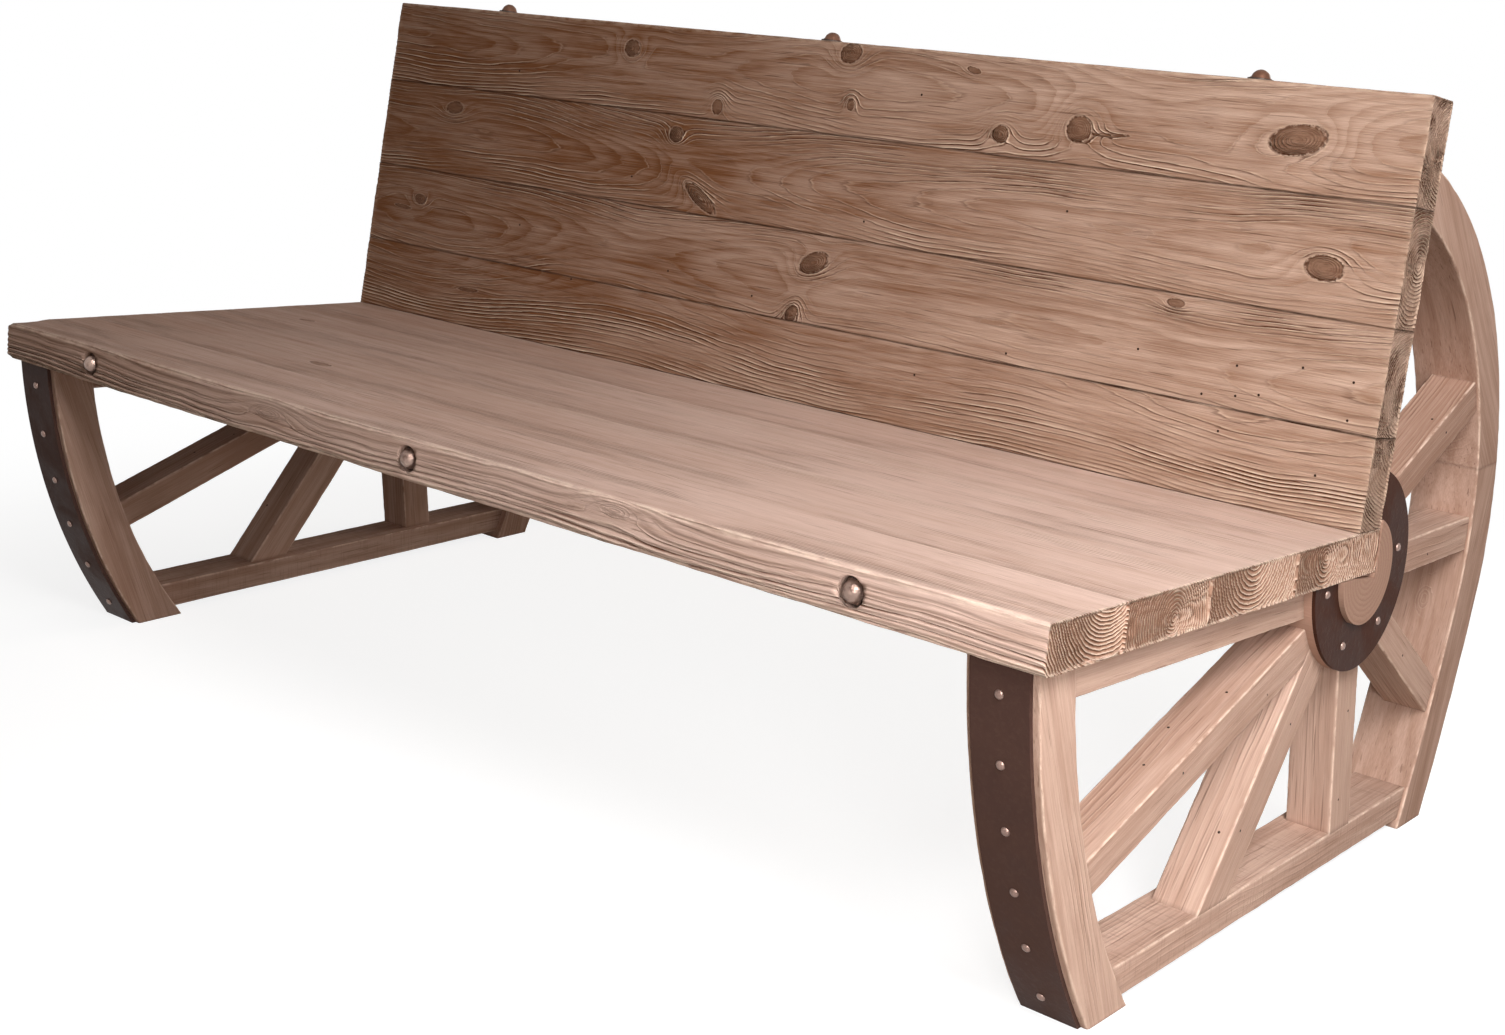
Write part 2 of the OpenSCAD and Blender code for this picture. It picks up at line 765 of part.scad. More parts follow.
module rear_upper_felloe() {
    rear_felloe(felloe_joint_z, far);
}

// Upright dowel through the joint, in the middle of the felloes' depth
module felloe_dowel_rod(grow) {
    p = [rear_c[0], felloe_joint_z];
    y = p[0] + to_circle(p, [1, 0], rear_c, rear_arc_r - felloe_deep / 2);
    translate([x_mid, y, felloe_joint_z - felloe_dowel_deep - grow])
        rod(felloe_dowel_r + grow, 2 * (felloe_dowel_deep + grow));
}

module felloe_dowel() {
    color(WOOD_PEG) felloe_dowel_rod(0);
}

module rim_dowel() {
    color(WOOD_PEG) intersection() {
        rim_dowel_rod(0);
        between(0, far);
    }
}

module front_tyre() {
    color(IRON) difference() {
        intersection() {
            front_room(-tyre_thick, x_in + tyre_margin, x_out - tyre_margin);
            between(0, far);
            translate([0, -far, 0]) cube([far, far + hub_c[0] - hub_r, far]);
        }
        front_room(0, x_in, x_out);
        seat_room();
        on_front_tyre() nail_hole();
    }
}

module rear_tyre() {
    color(IRON) difference() {
        intersection() {
            rear_band(tyre_thick, 0, x_in + tyre_margin, x_out - tyre_margin);
            between(0, far);
            translate([0, rear_c[0], rear_c[1]]) rotate([rear_tyre_turn, 0, 0])
                translate([0, -far, -2 * far]) cube([far, 2 * far, 2 * far]);
        }
        on_rear_tyre() nail_hole();
    }
}

module front_tyre_studs() {
    color(STUD) on_front_tyre() stud();
}

module rear_tyre_studs() {
    color(STUD) on_rear_tyre() stud();
}

module bottom_rail() {
    color(WOOD_FRAME) union() {
        difference() {
            intersection() {
                translate([spoke_x_out - bottom_rail_thick, -far, bottom_rail_gap])
                    cube([bottom_rail_thick, 2 * far, bottom_rail_high]);
                front_room(felloe_deep, x_in, x_out);
                leg_room();
            }
            spoke_tenon(FRONT_STEEP, joint_fit);
            spoke_tenon(UPRIGHT, joint_fit);
        }
        difference() {
            bottom_rail_tenon();
            spoke_tenon(FRONT_STEEP, joint_fit);
            spoke_tenon(UPRIGHT, joint_fit);
        }
    }
}

module seat_rail() {
    color(WOOD_FRAME) difference() {
        spoke(SEAT_RAIL) front_room(felloe_deep, x_in, x_out);
        lag_holes();
        spoke_bar(FRONT_LOW, joint_fit);
    }
}

module front_low_spoke() {
    color(WOOD_FRAME) difference() {
        spoke(FRONT_LOW) front_room(felloe_deep, x_in, x_out);
        spoke_bar(FRONT_STEEP, joint_fit);
    }
}

module front_steep_spoke() {
    color(WOOD_FRAME) spoke(FRONT_STEEP) between(rail_top, far);
}

module upright_spoke() {
    color(WOOD_FRAME) spoke(UPRIGHT) between(rail_top, far);
}

module rear_low_spoke() {
    color(WOOD_FRAME) spoke(REAR_LOW) leg_room();
}

module rear_level_spoke() {
    color(WOOD_FRAME) spoke(REAR_LEVEL) arc_room();
}

module rear_high_spoke() {
    color(WOOD_FRAME) spoke(REAR_HIGH) arc_room();
}

module hub_barrel() {
    color(WOOD_FRAME) difference() {
        disc(hub_c, hub_r, barrel_x_in, barrel_x_out);
        disc(hub_c, bore_r, barrel_x_in - cut, barrel_x_out + cut, 96);
        seat_room();
        back_room();
        for (s = [FRONT_LOW, FRONT_STEEP, UPRIGHT, REAR_LOW, REAR_LEVEL, REAR_HIGH, SEAT_RAIL])
            spoke_tenon(s, joint_fit);
        on_hub_ring() nail_hole();
    }
}

module hub_ring() {
    color(IRON) difference() {
        disc(hub_c, hub_r, barrel_x_out, barrel_x_out + ring_thick);
        disc(hub_c, ring_in_r, barrel_x_out - cut, barrel_x_out + ring_thick + cut, 96);
        seat_room();
        back_room();
        on_hub_ring() nail_hole();
    }
}

module hub_boss() {
    color(WOOD_FRAME) difference() {
        union() {
            disc(hub_c, ring_in_r - round_fit, barrel_x_out, boss_x_out, 96);
            disc(hub_c, bore_r - round_fit, barrel_x_out - boss_deep, barrel_x_out + cut, 96);
        }
        seat_room();
        back_room();
    }
}

module hub_studs() {
    color(STUD) on_hub_ring() stud();
}

seat_plank_1();
seat_plank_2();
seat_plank_3();
seat_plank_4();
back_plank_1();
back_plank_2();
back_plank_3();
back_plank_4();
seat_tie_bolts();
seat_bolt_washers();
seat_bolt_nuts();
back_tie_rods();
back_dome_nuts();
back_rod_washers();
back_rod_nuts();
back_foot_dowels();
seat_lag_screws();
on_left() front_felloe();  // left_front_felloe
on_left() rear_lower_felloe();  // left_rear_lower_felloe
on_left() rear_upper_felloe();  // left_rear_upper_felloe
on_left() felloe_dowel();  // left_felloe_dowel
on_left() rim_dowel();  // left_rim_dowel
on_left() front_tyre();  // left_front_tyre
on_left() rear_tyre();  // left_rear_tyre
on_left() front_tyre_studs();  // left_front_tyre_studs
on_left() rear_tyre_studs();  // left_rear_tyre_studs
on_left() bottom_rail();  // left_bottom_rail
on_left() seat_rail();  // left_seat_rail
on_left() front_low_spoke();  // left_front_low_spoke
on_left() front_steep_spoke();  // left_front_steep_spoke
on_left() upright_spoke();  // left_upright_spoke
on_left() rear_low_spoke();  // left_rear_low_spoke
on_left() rear_level_spoke();  // left_rear_level_spoke
on_left() rear_high_spoke();  // left_rear_high_spoke
on_left() hub_barrel();  // left_hub_barrel
on_left() hub_ring();  // left_hub_ring
on_left() hub_boss();  // left_hub_boss
on_left() hub_studs();  // left_hub_studs
on_right() front_felloe();  // right_front_felloe
on_right() rear_lower_felloe();  // right_rear_lower_felloe
on_right() rear_upper_felloe();  // right_rear_upper_felloe
on_right() felloe_dowel();  // right_felloe_dowel
on_right() rim_dowel();  // right_rim_dowel
on_right() front_tyre();  // right_front_tyre
on_right() rear_tyre();  // right_rear_tyre
on_right() front_tyre_studs();  // right_front_tyre_studs
on_right() rear_tyre_studs();  // right_rear_tyre_studs
on_right() bottom_rail();  // right_bottom_rail
on_right() seat_rail();  // right_seat_rail
on_right() front_low_spoke();  // right_front_low_spoke
on_right() front_steep_spoke();  // right_front_steep_spoke
on_right() upright_spoke();  // right_upright_spoke
on_right() rear_low_spoke();  // right_rear_low_spoke
on_right() rear_level_spoke();  // right_rear_level_spoke
on_right() rear_high_spoke();  // right_rear_high_spoke
on_right() hub_barrel();  // right_hub_barrel
on_right() hub_ring();  // right_hub_ring
on_right() hub_boss();  // right_hub_boss
on_right() hub_studs();  // right_hub_studs
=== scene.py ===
# Wagon wheel bench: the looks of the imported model, in the same frame.
import math

import bpy
import numpy as np
from mathutils import Matrix, Vector


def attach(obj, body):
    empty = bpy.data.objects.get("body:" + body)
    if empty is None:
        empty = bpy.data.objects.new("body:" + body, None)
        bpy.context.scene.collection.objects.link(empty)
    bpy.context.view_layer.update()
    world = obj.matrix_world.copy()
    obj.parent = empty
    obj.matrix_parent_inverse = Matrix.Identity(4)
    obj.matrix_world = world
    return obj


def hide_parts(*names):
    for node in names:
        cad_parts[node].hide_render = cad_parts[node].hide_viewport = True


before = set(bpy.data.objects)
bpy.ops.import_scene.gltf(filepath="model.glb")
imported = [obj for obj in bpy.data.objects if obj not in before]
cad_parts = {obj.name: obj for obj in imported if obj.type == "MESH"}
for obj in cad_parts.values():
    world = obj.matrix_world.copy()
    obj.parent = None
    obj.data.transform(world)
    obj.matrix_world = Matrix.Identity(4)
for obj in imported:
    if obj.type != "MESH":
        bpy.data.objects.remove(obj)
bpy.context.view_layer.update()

# Sizes of the bench in millimetres, as in its CAD source

SEAT_LENGTH = 1700.0
SEAT_HEIGHT = 440.0
SEAT_SLOPE = math.radians(2.85)
SEAT_THICK = 50.0
SEAT_PLANKS = (132.0, 156.0, 183.0, 195.0)
BACK_LEAN = math.radians(8.7)
BACK_THICK = 54.0
BACK_PLANKS = (122.0, 132.0, 119.0, 105.0)

RIM_INSET = 15.0
FELLOE_WIDE = 81.0
FELLOE_DEEP = 58.5
FRONT_SETBACK = 11.0
FRONT_ARC_R = 817.0
FRONT_ARC_RISE = 11.0
REAR_OVERHANG = 360.0
REAR_ARC_R = 449.0
REAR_ARC_DROP = 54.0
REAR_LEG_R = 2385.0
REAR_LEG_TURN = math.radians(18.6)
FELLOE_JOINT_Z = 424.0

TYRE_THICK = 5.0
REAR_TYRE_TURN = math.radians(56.0)
STUD_PITCH = 70.0
STUD_FIRST = 31.0
STUD_LOW = 18.0
STUD_RADIUS = 5.0
STUD_HEIGHT = 3.0

HUB_RADIUS = 113.0
HUB_AHEAD = 24.0
HUB_ABOVE = 4.0
BARREL_PROUD = 9.0
RING_THICK = 4.0
RING_STUD_TURN = 7.0
RING_STUD_STEP = 60.0
RING_STUD_PCR = 86.0
RING_STUDS = 4

SPOKE_THICK = 55.0
SPOKE_INSET = 4.0
# Name, angle from straight back, shift from the hub's centre, width, where it ends
SPOKES = (
    ("front_low_spoke", 198.3, 35.0, 41.0, "front"),
    ("front_steep_spoke", 230.4, 6.0, 50.0, "rail"),
    ("upright_spoke", 276.0, 6.0, 50.0, "rail"),
    ("rear_low_spoke", -37.3, -10.0, 41.0, "leg"),
    ("rear_level_spoke", -1.2, -12.0, 41.0, "arc"),
    ("rear_high_spoke", 23.5, 22.0, 41.0, "arc"),
)
SEAT_RAIL_HIGH = 38.0
BOTTOM_RAIL_HIGH = 36.0
BOTTOM_RAIL_THICK = 66.0
BOTTOM_RAIL_GAP = 10.0

SEAT_BOLTS = (-645.0, -5.0, 630.0)
BACK_RODS = (-629.0, 2.0, 630.0)
SINK_RADIUS = 16.0
SINK_DEEP = 14.0
WASHER_THICK = 2.5

MM = 0.001

# Places worked out from the sizes

seat_deep = sum(SEAT_PLANKS)
back_high = sum(BACK_PLANKS)
front_foot = SEAT_THICK * math.sin(SEAT_SLOPE)
overall_deep = front_foot + seat_deep * math.cos(SEAT_SLOPE) + REAR_OVERHANG
front_y = front_foot - overall_deep / 2
rear_y = front_y + seat_deep * math.cos(SEAT_SLOPE)
back_foot_u = seat_deep - BACK_THICK / math.cos(BACK_LEAN - SEAT_SLOPE)
back_foot = np.array(
    [
        front_y + back_foot_u * math.cos(SEAT_SLOPE),
        SEAT_HEIGHT - back_foot_u * math.sin(SEAT_SLOPE),
    ]
)
x_out = SEAT_LENGTH / 2 - RIM_INSET
x_in = x_out - FELLOE_WIDE
spoke_x_out = x_out - SPOKE_INSET
spoke_x_in = spoke_x_out - SPOKE_THICK
barrel_x_out = spoke_x_out + BARREL_PROUD
front_c = np.array([front_y + FRONT_SETBACK + FRONT_ARC_R, SEAT_HEIGHT + FRONT_ARC_RISE])
rear_c = np.array(
    [rear_y + REAR_OVERHANG - TYRE_THICK - REAR_ARC_R, SEAT_HEIGHT - REAR_ARC_DROP]
)
leg_c = rear_c + (REAR_ARC_R - REAR_LEG_R) * np.array(
    [math.cos(REAR_LEG_TURN), -math.sin(REAR_LEG_TURN)]
)
rail_top = BOTTOM_RAIL_GAP + BOTTOM_RAIL_HIGH


def underside(y):
    """Height of the seat's underside at a place front to back."""
    fall = (y - front_y) * math.tan(SEAT_SLOPE)
    return SEAT_HEIGHT - fall - SEAT_THICK / math.cos(SEAT_SLOPE)


hub_c = np.array([rear_y - HUB_AHEAD, underside(rear_y - HUB_AHEAD) + HUB_ABOVE])


def heading(turn):
    return np.array([math.cos(turn), math.sin(turn)])


def across(turn):
    return np.array([-math.sin(turn), math.cos(turn)])


def to_circle(start, direction, centre, radius):
    """Distance along a ray from inside a circle to the circle."""
    gap = start - centre
    b = -float(direction @ gap)
    return b + math.sqrt(b * b - float(gap @ gap) + radius * radius)


# Camera, its place in metres, its angles in degrees, its lens and sensor in millimetres

CAMERA_PLACE = (1.786632, -2.027933, 1.006633)
CAMERA_ANGLES = (40.449, -10.227, 2.993)
CAMERA_LENS = 50.91
CAMERA_SENSOR = 36
# Share of the picture's width by which the lens is shifted down
CAMERA_SHIFT = -0.1283


def srgb(r, g, b):
    """A colour written as in a picture, 0 to 255, as Blender's linear values."""
    out = []
    for v in (r, g, b):
        v = v / 255
        out.append(v / 12.92 if v <= 0.04045 else ((v + 0.055) / 1.055) ** 2.4)
    return (*out, 1.0)


def make_camera():
    yaw, pitch, roll = (math.radians(v) for v in CAMERA_ANGLES)
    level = math.cos(pitch)
    ahead = Vector((-math.sin(yaw) * level, math.cos(yaw) * level, math.sin(pitch)))
    right = Vector((math.cos(yaw), math.sin(yaw), 0))
    up = right.cross(ahead)
    right, up = (
        right * math.cos(roll) + up * math.sin(roll),
        up * math.cos(roll) - right * math.sin(roll),
    )
    data = bpy.data.cameras.new("photo_camera")
    data.sensor_width = CAMERA_SENSOR
    data.lens = CAMERA_LENS
    data.shift_y = CAMERA_SHIFT
    camera = bpy.data.objects.new("photo_camera", data)
    turn = Matrix((right, up, -ahead)).transposed().to_4x4()
    camera.matrix_world = Matrix.Translation(CAMERA_PLACE) @ turn
    bpy.context.scene.collection.objects.link(camera)
    bpy.context.scene.camera = camera


make_camera()

# Smooth noise on points, the same on every run

shuffle = np.random.default_rng(11).permutation(256)
shuffle = np.concatenate([shuffle, shuffle, shuffle])
slopes = np.array(
    [
        (1, 1, 0), (-1, 1, 0), (1, -1, 0), (-1, -1, 0),
        (1, 0, 1), (-1, 0, 1), (1, 0, -1), (-1, 0, -1),
        (0, 1, 1), (0, -1, 1), (0, 1, -1), (0, -1, -1),
    ],
    dtype=float,
)


def ripple(points, cell, seed=0):
    """Smooth noise from about -1 to 1 on points, with a cell size on each axis."""
    p = points / np.asarray(cell, dtype=float) + 17.31 * seed
    base = np.floor(p)
    f = p - base
    base = base.astype(int)
    fade = f * f * f * (f * (f * 6 - 15) + 10)
    total = np.zeros(len(p))
    for cx in (0, 1):
        for cy in (0, 1):
            for cz in (0, 1):
                h = shuffle[(base[:, 0] + cx) & 255] + ((base[:, 1] + cy) & 255)
                h = shuffle[h] + ((base[:, 2] + cz) & 255)
                slope = slopes[shuffle[h] % 12]
                share = (slope * (f - (cx, cy, cz))).sum(axis=1)
                wx = fade[:, 0] if cx else 1 - fade[:, 0]
                wy = fade[:, 1] if cy else 1 - fade[:, 1]
                wz = fade[:, 2] if cz else 1 - fade[:, 2]
                total += share * wx * wy * wz
    return total


def ramp(value, low, high):
    """0 at low, 1 at high, smooth between."""
    t = np.clip((value - low) / (high - low), 0, 1)
    return t * t * (3 - 2 * t)


def beside(distance, reach):
    """1 at an edge or a joint, less with the distance from it, 0 beyond its reach."""
    return np.clip(1 - distance / reach, 0, 1)


# Wood: a block of growth rings that every piece is cut from


def growth_rings(p, timber):
    """Ring count at points of a timber (x along the grain, y and z across it), and knots."""
    seed = timber["seed"]
    place = p.copy()
    axis = timber["face_axis"]
    knot = np.zeros(len(p))
    swell = np.zeros(len(p))
    for x, y, long_r, wide_r, turn in timber["knots"]:
        run, off = p[:, 0] - x, p[:, axis] - y
        c, s = math.cos(math.radians(turn)), math.sin(math.radians(turn))
        away = np.hypot((run * c + off * s) / long_r, (off * c - run * s) / wide_r)
        place[:, axis] -= off / np.maximum(away, 1) ** 2
        swell += 1.2 * wide_r * np.exp(-((away / 2.0) ** 2))
        swell += 1.6 * (1 - np.minimum(away, 1)) * wide_r
        if not timber["blind"]:
            knot = np.maximum(knot, 1 - np.clip(away / 2.0, 0, 1))
    along = np.column_stack([p[:, 0], np.zeros(len(p)), np.zeros(len(p))])
    pith_y = timber["pith"][0] + timber["wander"] * ripple(along, 520, seed)
    pith_z = timber["pith"][1] + 0.6 * timber["wander"] * ripple(along, 410, seed + 3)
    r = np.hypot(place[:, 1] - pith_y, place[:, 2] - pith_z)
    r = r + timber["wave"] * ripple(place, (240, 60, 60), seed + 5)
    r = r + 0.4 * timber["wave"] * ripple(place, (70, 22, 22), seed + 8)
    r = r + swell
    count = r / timber["spacing"]
    return count + 0.5 * ripple(np.column_stack([r, r * 0, r * 0]), 23, seed + 2), knot


def ring_pace(points, faces, count):
    """Rings crossed in each millimetre of the surface, at each point."""
    a, b, c = points[faces[:, 0]], points[faces[:, 1]], points[faces[:, 2]]
    e, f = b - a, c - a
    de, df = count[faces[:, 1]] - count[faces[:, 0]], count[faces[:, 2]] - count[faces[:, 0]]
    ee, ef, ff = (e * e).sum(axis=1), (e * f).sum(axis=1), (f * f).sum(axis=1)
    area = np.maximum(ee * ff - ef * ef, 1e-9)
    steep = np.sqrt(np.maximum((de * (ff * de - ef * df) + df * (ee * df - ef * de)) / area, 0))
    weight = np.sqrt(area)
    total, share = np.zeros(len(points)), np.zeros(len(points))
    for corner in range(faces.shape[1]):
        np.add.at(total, faces[:, corner], steep * weight)
        np.add.at(share, faces[:, corner], weight)
    return total / np.maximum(share, 1e-9)


def ridge(count):
    """Height of the hard late wood of each ring, 0 to 1."""
    t = count - np.floor(count)
    return ramp(t, 0.15, 0.72) * (1 - ramp(t, 0.84, 1.0))


def timber(seed, pith, spacing, wander, wave, knots=(), face_axis=2, blind=False):
    """How a piece grew. Blind knots only turn the grain round them."""
    return dict(
        seed=seed, pith=pith, spacing=spacing, wander=wander, wave=wave,
        knots=knots, face_axis=face_axis, blind=blind,
    )


# Blocks of fine faces, with worn edges


def spread(length, step, close=(0.8, 1.8, 3.2, 5.0)):
    """Places from 0 to a length, closer together at both ends."""
    ends = [0.0] + [c for c in close if c < length / 3]
    first, last = ends[-1], length - ends[-1]
    count = max(1, round((last - first) / step))
    inner = list(np.linspace(first, last, count + 1))[1:-1]
    return np.array(ends + inner + [length - c for c in reversed(ends)])


def block_faces(ns, na, nb):
    """Grid faces over a block, and each point's grid place. Faces point outwards."""
    loop = [(a, 0) for a in range(na)]
    loop += [(na - 1, b) for b in range(1, nb)]
    loop += [(a, nb - 1) for a in range(na - 2, -1, -1)]
    loop += [(0, b) for b in range(nb - 2, 0, -1)]
    k = len(loop)
    places = [(i, a, b) for i in range(ns) for a, b in loop]
    i, j = np.meshgrid(np.arange(ns - 1), np.arange(k), indexing="ij")
    i, j = i.ravel(), j.ravel()
    nxt = (j + 1) % k
    faces = [np.column_stack([i * k + j, i * k + nxt, (i + 1) * k + nxt, (i + 1) * k + j])]
    for end in (0, ns - 1):
        index = np.zeros((na, nb), dtype=int)
        for n, (a, b) in enumerate(loop):
            index[a, b] = end * k + n
        for a in range(1, na - 1):
            for b in range(1, nb - 1):
                index[a, b] = len(places)
                places.append((end, a, b))
        quad = [index[:-1, :-1], index[1:, :-1], index[1:, 1:], index[:-1, 1:]]
        if end == 0:
            quad.reverse()
        faces.append(np.column_stack([q.ravel() for q in quad]))
    return np.array(places), np.vstack(faces)


def ease_edge(p, n, i, j, size, radius):
    """Rounds a block's edges between axes i and j, turning the normals with them."""
    ci = np.clip(p[:, i], radius, size[i] - radius)
    cj = np.clip(p[:, j], radius, size[j] - radius)
    di, dj = p[:, i] - ci, p[:, j] - cj
    reach = np.hypot(di, dj)
    corner = (np.abs(di) > 1e-9) & (np.abs(dj) > 1e-9) & (reach > radius - 1e-6)
    shrink = np.where(corner, radius / np.maximum(reach, 1e-9), 1)
    p[:, i] = np.where(corner, ci + di * shrink, p[:, i])
    p[:, j] = np.where(corner, cj + dj * shrink, p[:, j])
    n[corner] = 0
    n[corner, i] = (di / np.maximum(reach, 1e-9))[corner]
    n[corner, j] = (dj / np.maximum(reach, 1e-9))[corner]


def block(size, steps, eases, end_ease, seed, corner=0.0):
    """A block from 0 to its size, as points, normals and faces, its edges worn."""
    grids = [spread(length, step) for length, step in zip(size, steps)]
    places, faces = block_faces(*(len(g) for g in grids))
    p = np.column_stack([g[places[:, axis]] for axis, g in enumerate(grids)])
    n = np.zeros_like(p)
    for axis in (0, 1, 2):
        n[p[:, axis] <= 0, axis] = -1
        n[p[:, axis] >= size[axis], axis] = 1
    n /= np.linalg.norm(n, axis=1)[:, None]
    fore = p[:, 1] < size[1] / 2
    low = p[:, 2] < size[2] / 2
    ease = np.select(
        [fore & low, ~fore & low, ~fore & ~low], [eases[0], eases[1], eases[2]], eases[3]
    )
    vary = 1 + 0.55 * ripple(p, (70, 40, 40), seed) + 0.35 * ripple(p, (17, 12, 12), seed + 1)
    ease_edge(p, n, 1, 2, size, ease * np.clip(vary, 0.35, 2.0))
    if end_ease:
        end_r = end_ease * np.clip(vary, 0.35, 1.8)
        blunt = (p[:, 0] < size[0] / 2) * np.clip(1.6 - p[:, 1] / 40, 0, 1)
        tall_r = np.where(corner > end_r, end_r + (corner - end_r) * blunt, end_r)
        ease_edge(p, n, 0, 2, size, tall_r)
        outer = (fore & (max(eases[0], eases[3]) > 1)) | (~fore & (max(eases[1], eases[2]) > 1))
        plan_r = np.where(fore & (corner > 0), 5 * np.clip(vary, 0.7, 1.3), end_r)
        ease_edge(p, n, 0, 1, size, np.where(outer, plan_r, 0.3))
    return p, n, faces


def relief(p, n, wood, face, end, seed):
    """Sinks the soft wood between rings, and gives the rings and knots at each point."""
    count, knot = growth_rings(p, wood)
    end_grain = ramp(np.abs(n[:, 0]), 0.6, 0.95)
    depth = face * (1 - end_grain) + end * end_grain
    soft = 1 - ridge(count)
    patchy = 0.65 + 0.5 * ripple(p, (240, 50, 50), seed + 21)
    hollow = 0.5 * face * (1 + ripple(p, (160, 45, 45), seed + 14))
    sunk = depth * soft * np.clip(patchy, 0.15, 1.2) + hollow + 0.5 * face * ramp(knot, 0.5, 0.8)
    sunk += end_grain * 0.5 * end * (1 + 1.3 * ripple(p, (40, 10, 8), seed + 30))
    sunk += end_grain * 0.9 * end * (1 + 1.2 * ripple(p, (400, 60, 42), seed + 33))
    return p - n * sunk[:, None], count, knot


def mesh_piece(name, points, faces, mirrored=False):
    """A mesh object at the origin, from points in millimetres."""
    if mirrored:
        points = points * (-1, 1, 1)
        faces = [tuple(reversed(f)) for f in faces]
    mesh = bpy.data.meshes.new(name)
    mesh.from_pydata((np.asarray(points) * MM).tolist(), [], [tuple(map(int, f)) for f in faces])
    mesh.update()
    piece = bpy.data.objects.new(name, mesh)
    bpy.context.scene.collection.objects.link(piece)
    return piece


def add_attribute(mesh, name, kind, values):
    layer = mesh.attributes.new(name, kind, "POINT")
    key = "vector" if kind == "FLOAT_VECTOR" else "value"
    layer.data.foreach_set(key, np.ascontiguousarray(values, dtype=np.float32).ravel())


def dress(piece, grain, count, knot, worn, grime, tint=0.0, bold=0.0):
    """Writes what the wood material reads: grain place, rings, knots, wear, painted shade in
    creases and recesses, tint and how boldly the rings stand out."""
    mesh = piece.data
    starts = np.zeros(len(mesh.polygons), dtype=int)
    mesh.polygons.foreach_get("loop_start", starts)
    corners = np.zeros(len(mesh.loops), dtype=int)
    mesh.loops.foreach_get("vertex_index", corners)
    faces = np.column_stack([corners[starts], corners[starts + 1], corners[starts + 2]])
    add_attribute(mesh, "grain", "FLOAT_VECTOR", grain * MM)
    layers = {
        "rings": count,
        "pace": ring_pace(grain, faces, count),
        "tint": tint,
        "bold": bold,
        "knot": knot,
        "worn": worn,
        "grime": grime,
    }
    for name, values in layers.items():
        add_attribute(mesh, name, "FLOAT", np.zeros(len(grain)) + values)
    mesh.shade_smooth()


def apply_modifiers(piece):
    """Swaps a piece's mesh for the one that its modifiers make."""
    made = bpy.data.meshes.new_from_object(
        piece.evaluated_get(bpy.context.evaluated_depsgraph_get())
    )
    piece.modifiers.clear()
    before = piece.data
    piece.data = made
    bpy.data.meshes.remove(before)


def settle(piece, node, material):
    """Puts a finished piece in place of its CAD node."""
    piece.data.materials.clear()
    piece.data.materials.append(material)
    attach(piece, "root")
    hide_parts(node)


# Shader and geometry nodes


def plug(value, socket):
    """Fills an input from a signal, an output or a plain value."""
    value = getattr(value, "socket", value)
    if isinstance(value, bpy.types.NodeSocket):
        socket.id_data.links.new(value, socket)
    else:
        socket.default_value = value


def add_node(tree, kind, inputs=None, **settings):
    """A node: its settings are made first, then its inputs filled by name or number."""
    node = tree.nodes.new(kind)
    for key, value in settings.items():
        setattr(node, key, value)
    for key, value in (inputs or {}).items():
        plug(value, node.inputs[key])
    return node


class Signal:
    """What one output gives. Sums and products of signals add math nodes to their tree."""

    def __init__(self, socket):
        self.socket = socket

    def node(self, kind, inputs, result=0, **settings):
        """What a new node in the same tree gives."""
        made = add_node(self.socket.id_data, kind, inputs, **settings)
        return Signal(made.outputs[result])

    def math(self, operation, other=0.0):
        return self.node("ShaderNodeMath", {0: self, 1: other}, operation=operation)

    def __add__(self, other):
        return self.math("ADD", other)

    def __sub__(self, other):
        return self.math("SUBTRACT", other)

    def __rsub__(self, other):
        return self.node("ShaderNodeMath", {0: other, 1: self}, operation="SUBTRACT")

    def __mul__(self, other):
        return self.math("MULTIPLY", other)

    def __truediv__(self, other):
        return self.math("DIVIDE", other)

    def __rtruediv__(self, other):
        return self.node("ShaderNodeMath", {0: other, 1: self}, operation="DIVIDE")

    def clamp(self):
        """Keeps what the last math node gives between 0 and 1."""
        self.socket.node.use_clamp = True
        return self

    def smooth(self, low, high, out_low=0.0, out_high=1.0):
        """Goes smoothly from one value at low to another at high."""
        inputs = dict(enumerate((self, low, high, out_low, out_high)))
        return self.node("ShaderNodeMapRange", inputs, interpolation_type="SMOOTHSTEP")

    def mix(self, other, factor):
        """This colour with a share of another one."""
        return self.node("ShaderNodeMix", {0: factor, 6: self, 7: other}, 2, data_type="RGBA")

    def noise(self, scale, detail=2.0, rough=0.5, warp=0.0):
        """Noise on this place, with one scale or one for each axis."""
        place = self
        if isinstance(scale, tuple):
            place = self.node("ShaderNodeMapping", {"Vector": self, "Scale": scale})
            scale = 1.0
        inputs = {
            "Vector": place, "Scale": scale, "Detail": detail,
            "Roughness": rough, "Distortion": warp,
        }
        return self.node("ShaderNodeTexNoise", inputs, "Fac")


def new_group(name, inputs, outputs, tree_type="ShaderNodeTree"):
    """A node group, its inputs as signals by name, and its output node. An input is given
    by its default value, or by its kind where it has none."""
    group = bpy.data.node_groups.new(name, tree_type)
    kinds = {float: "Float", int: "Int", tuple: "Color"}
    for label, value in inputs.items():
        kind = kinds.get(type(value), value)
        socket = group.interface.new_socket(
            label, in_out="INPUT", socket_type=f"NodeSocket{kind}"
        )
        if kind is not value:
            socket.default_value = value
    for label, kind in outputs.items():
        group.interface.new_socket(label, in_out="OUTPUT", socket_type=f"NodeSocket{kind}")
    sockets = group.nodes.new("NodeGroupInput").outputs
    given = {label: Signal(sockets[label]) for label in inputs}
    return group, given, group.nodes.new("NodeGroupOutput")


def close_group(out, **results):
    for label, value in results.items():
        plug(value, out.inputs[label])


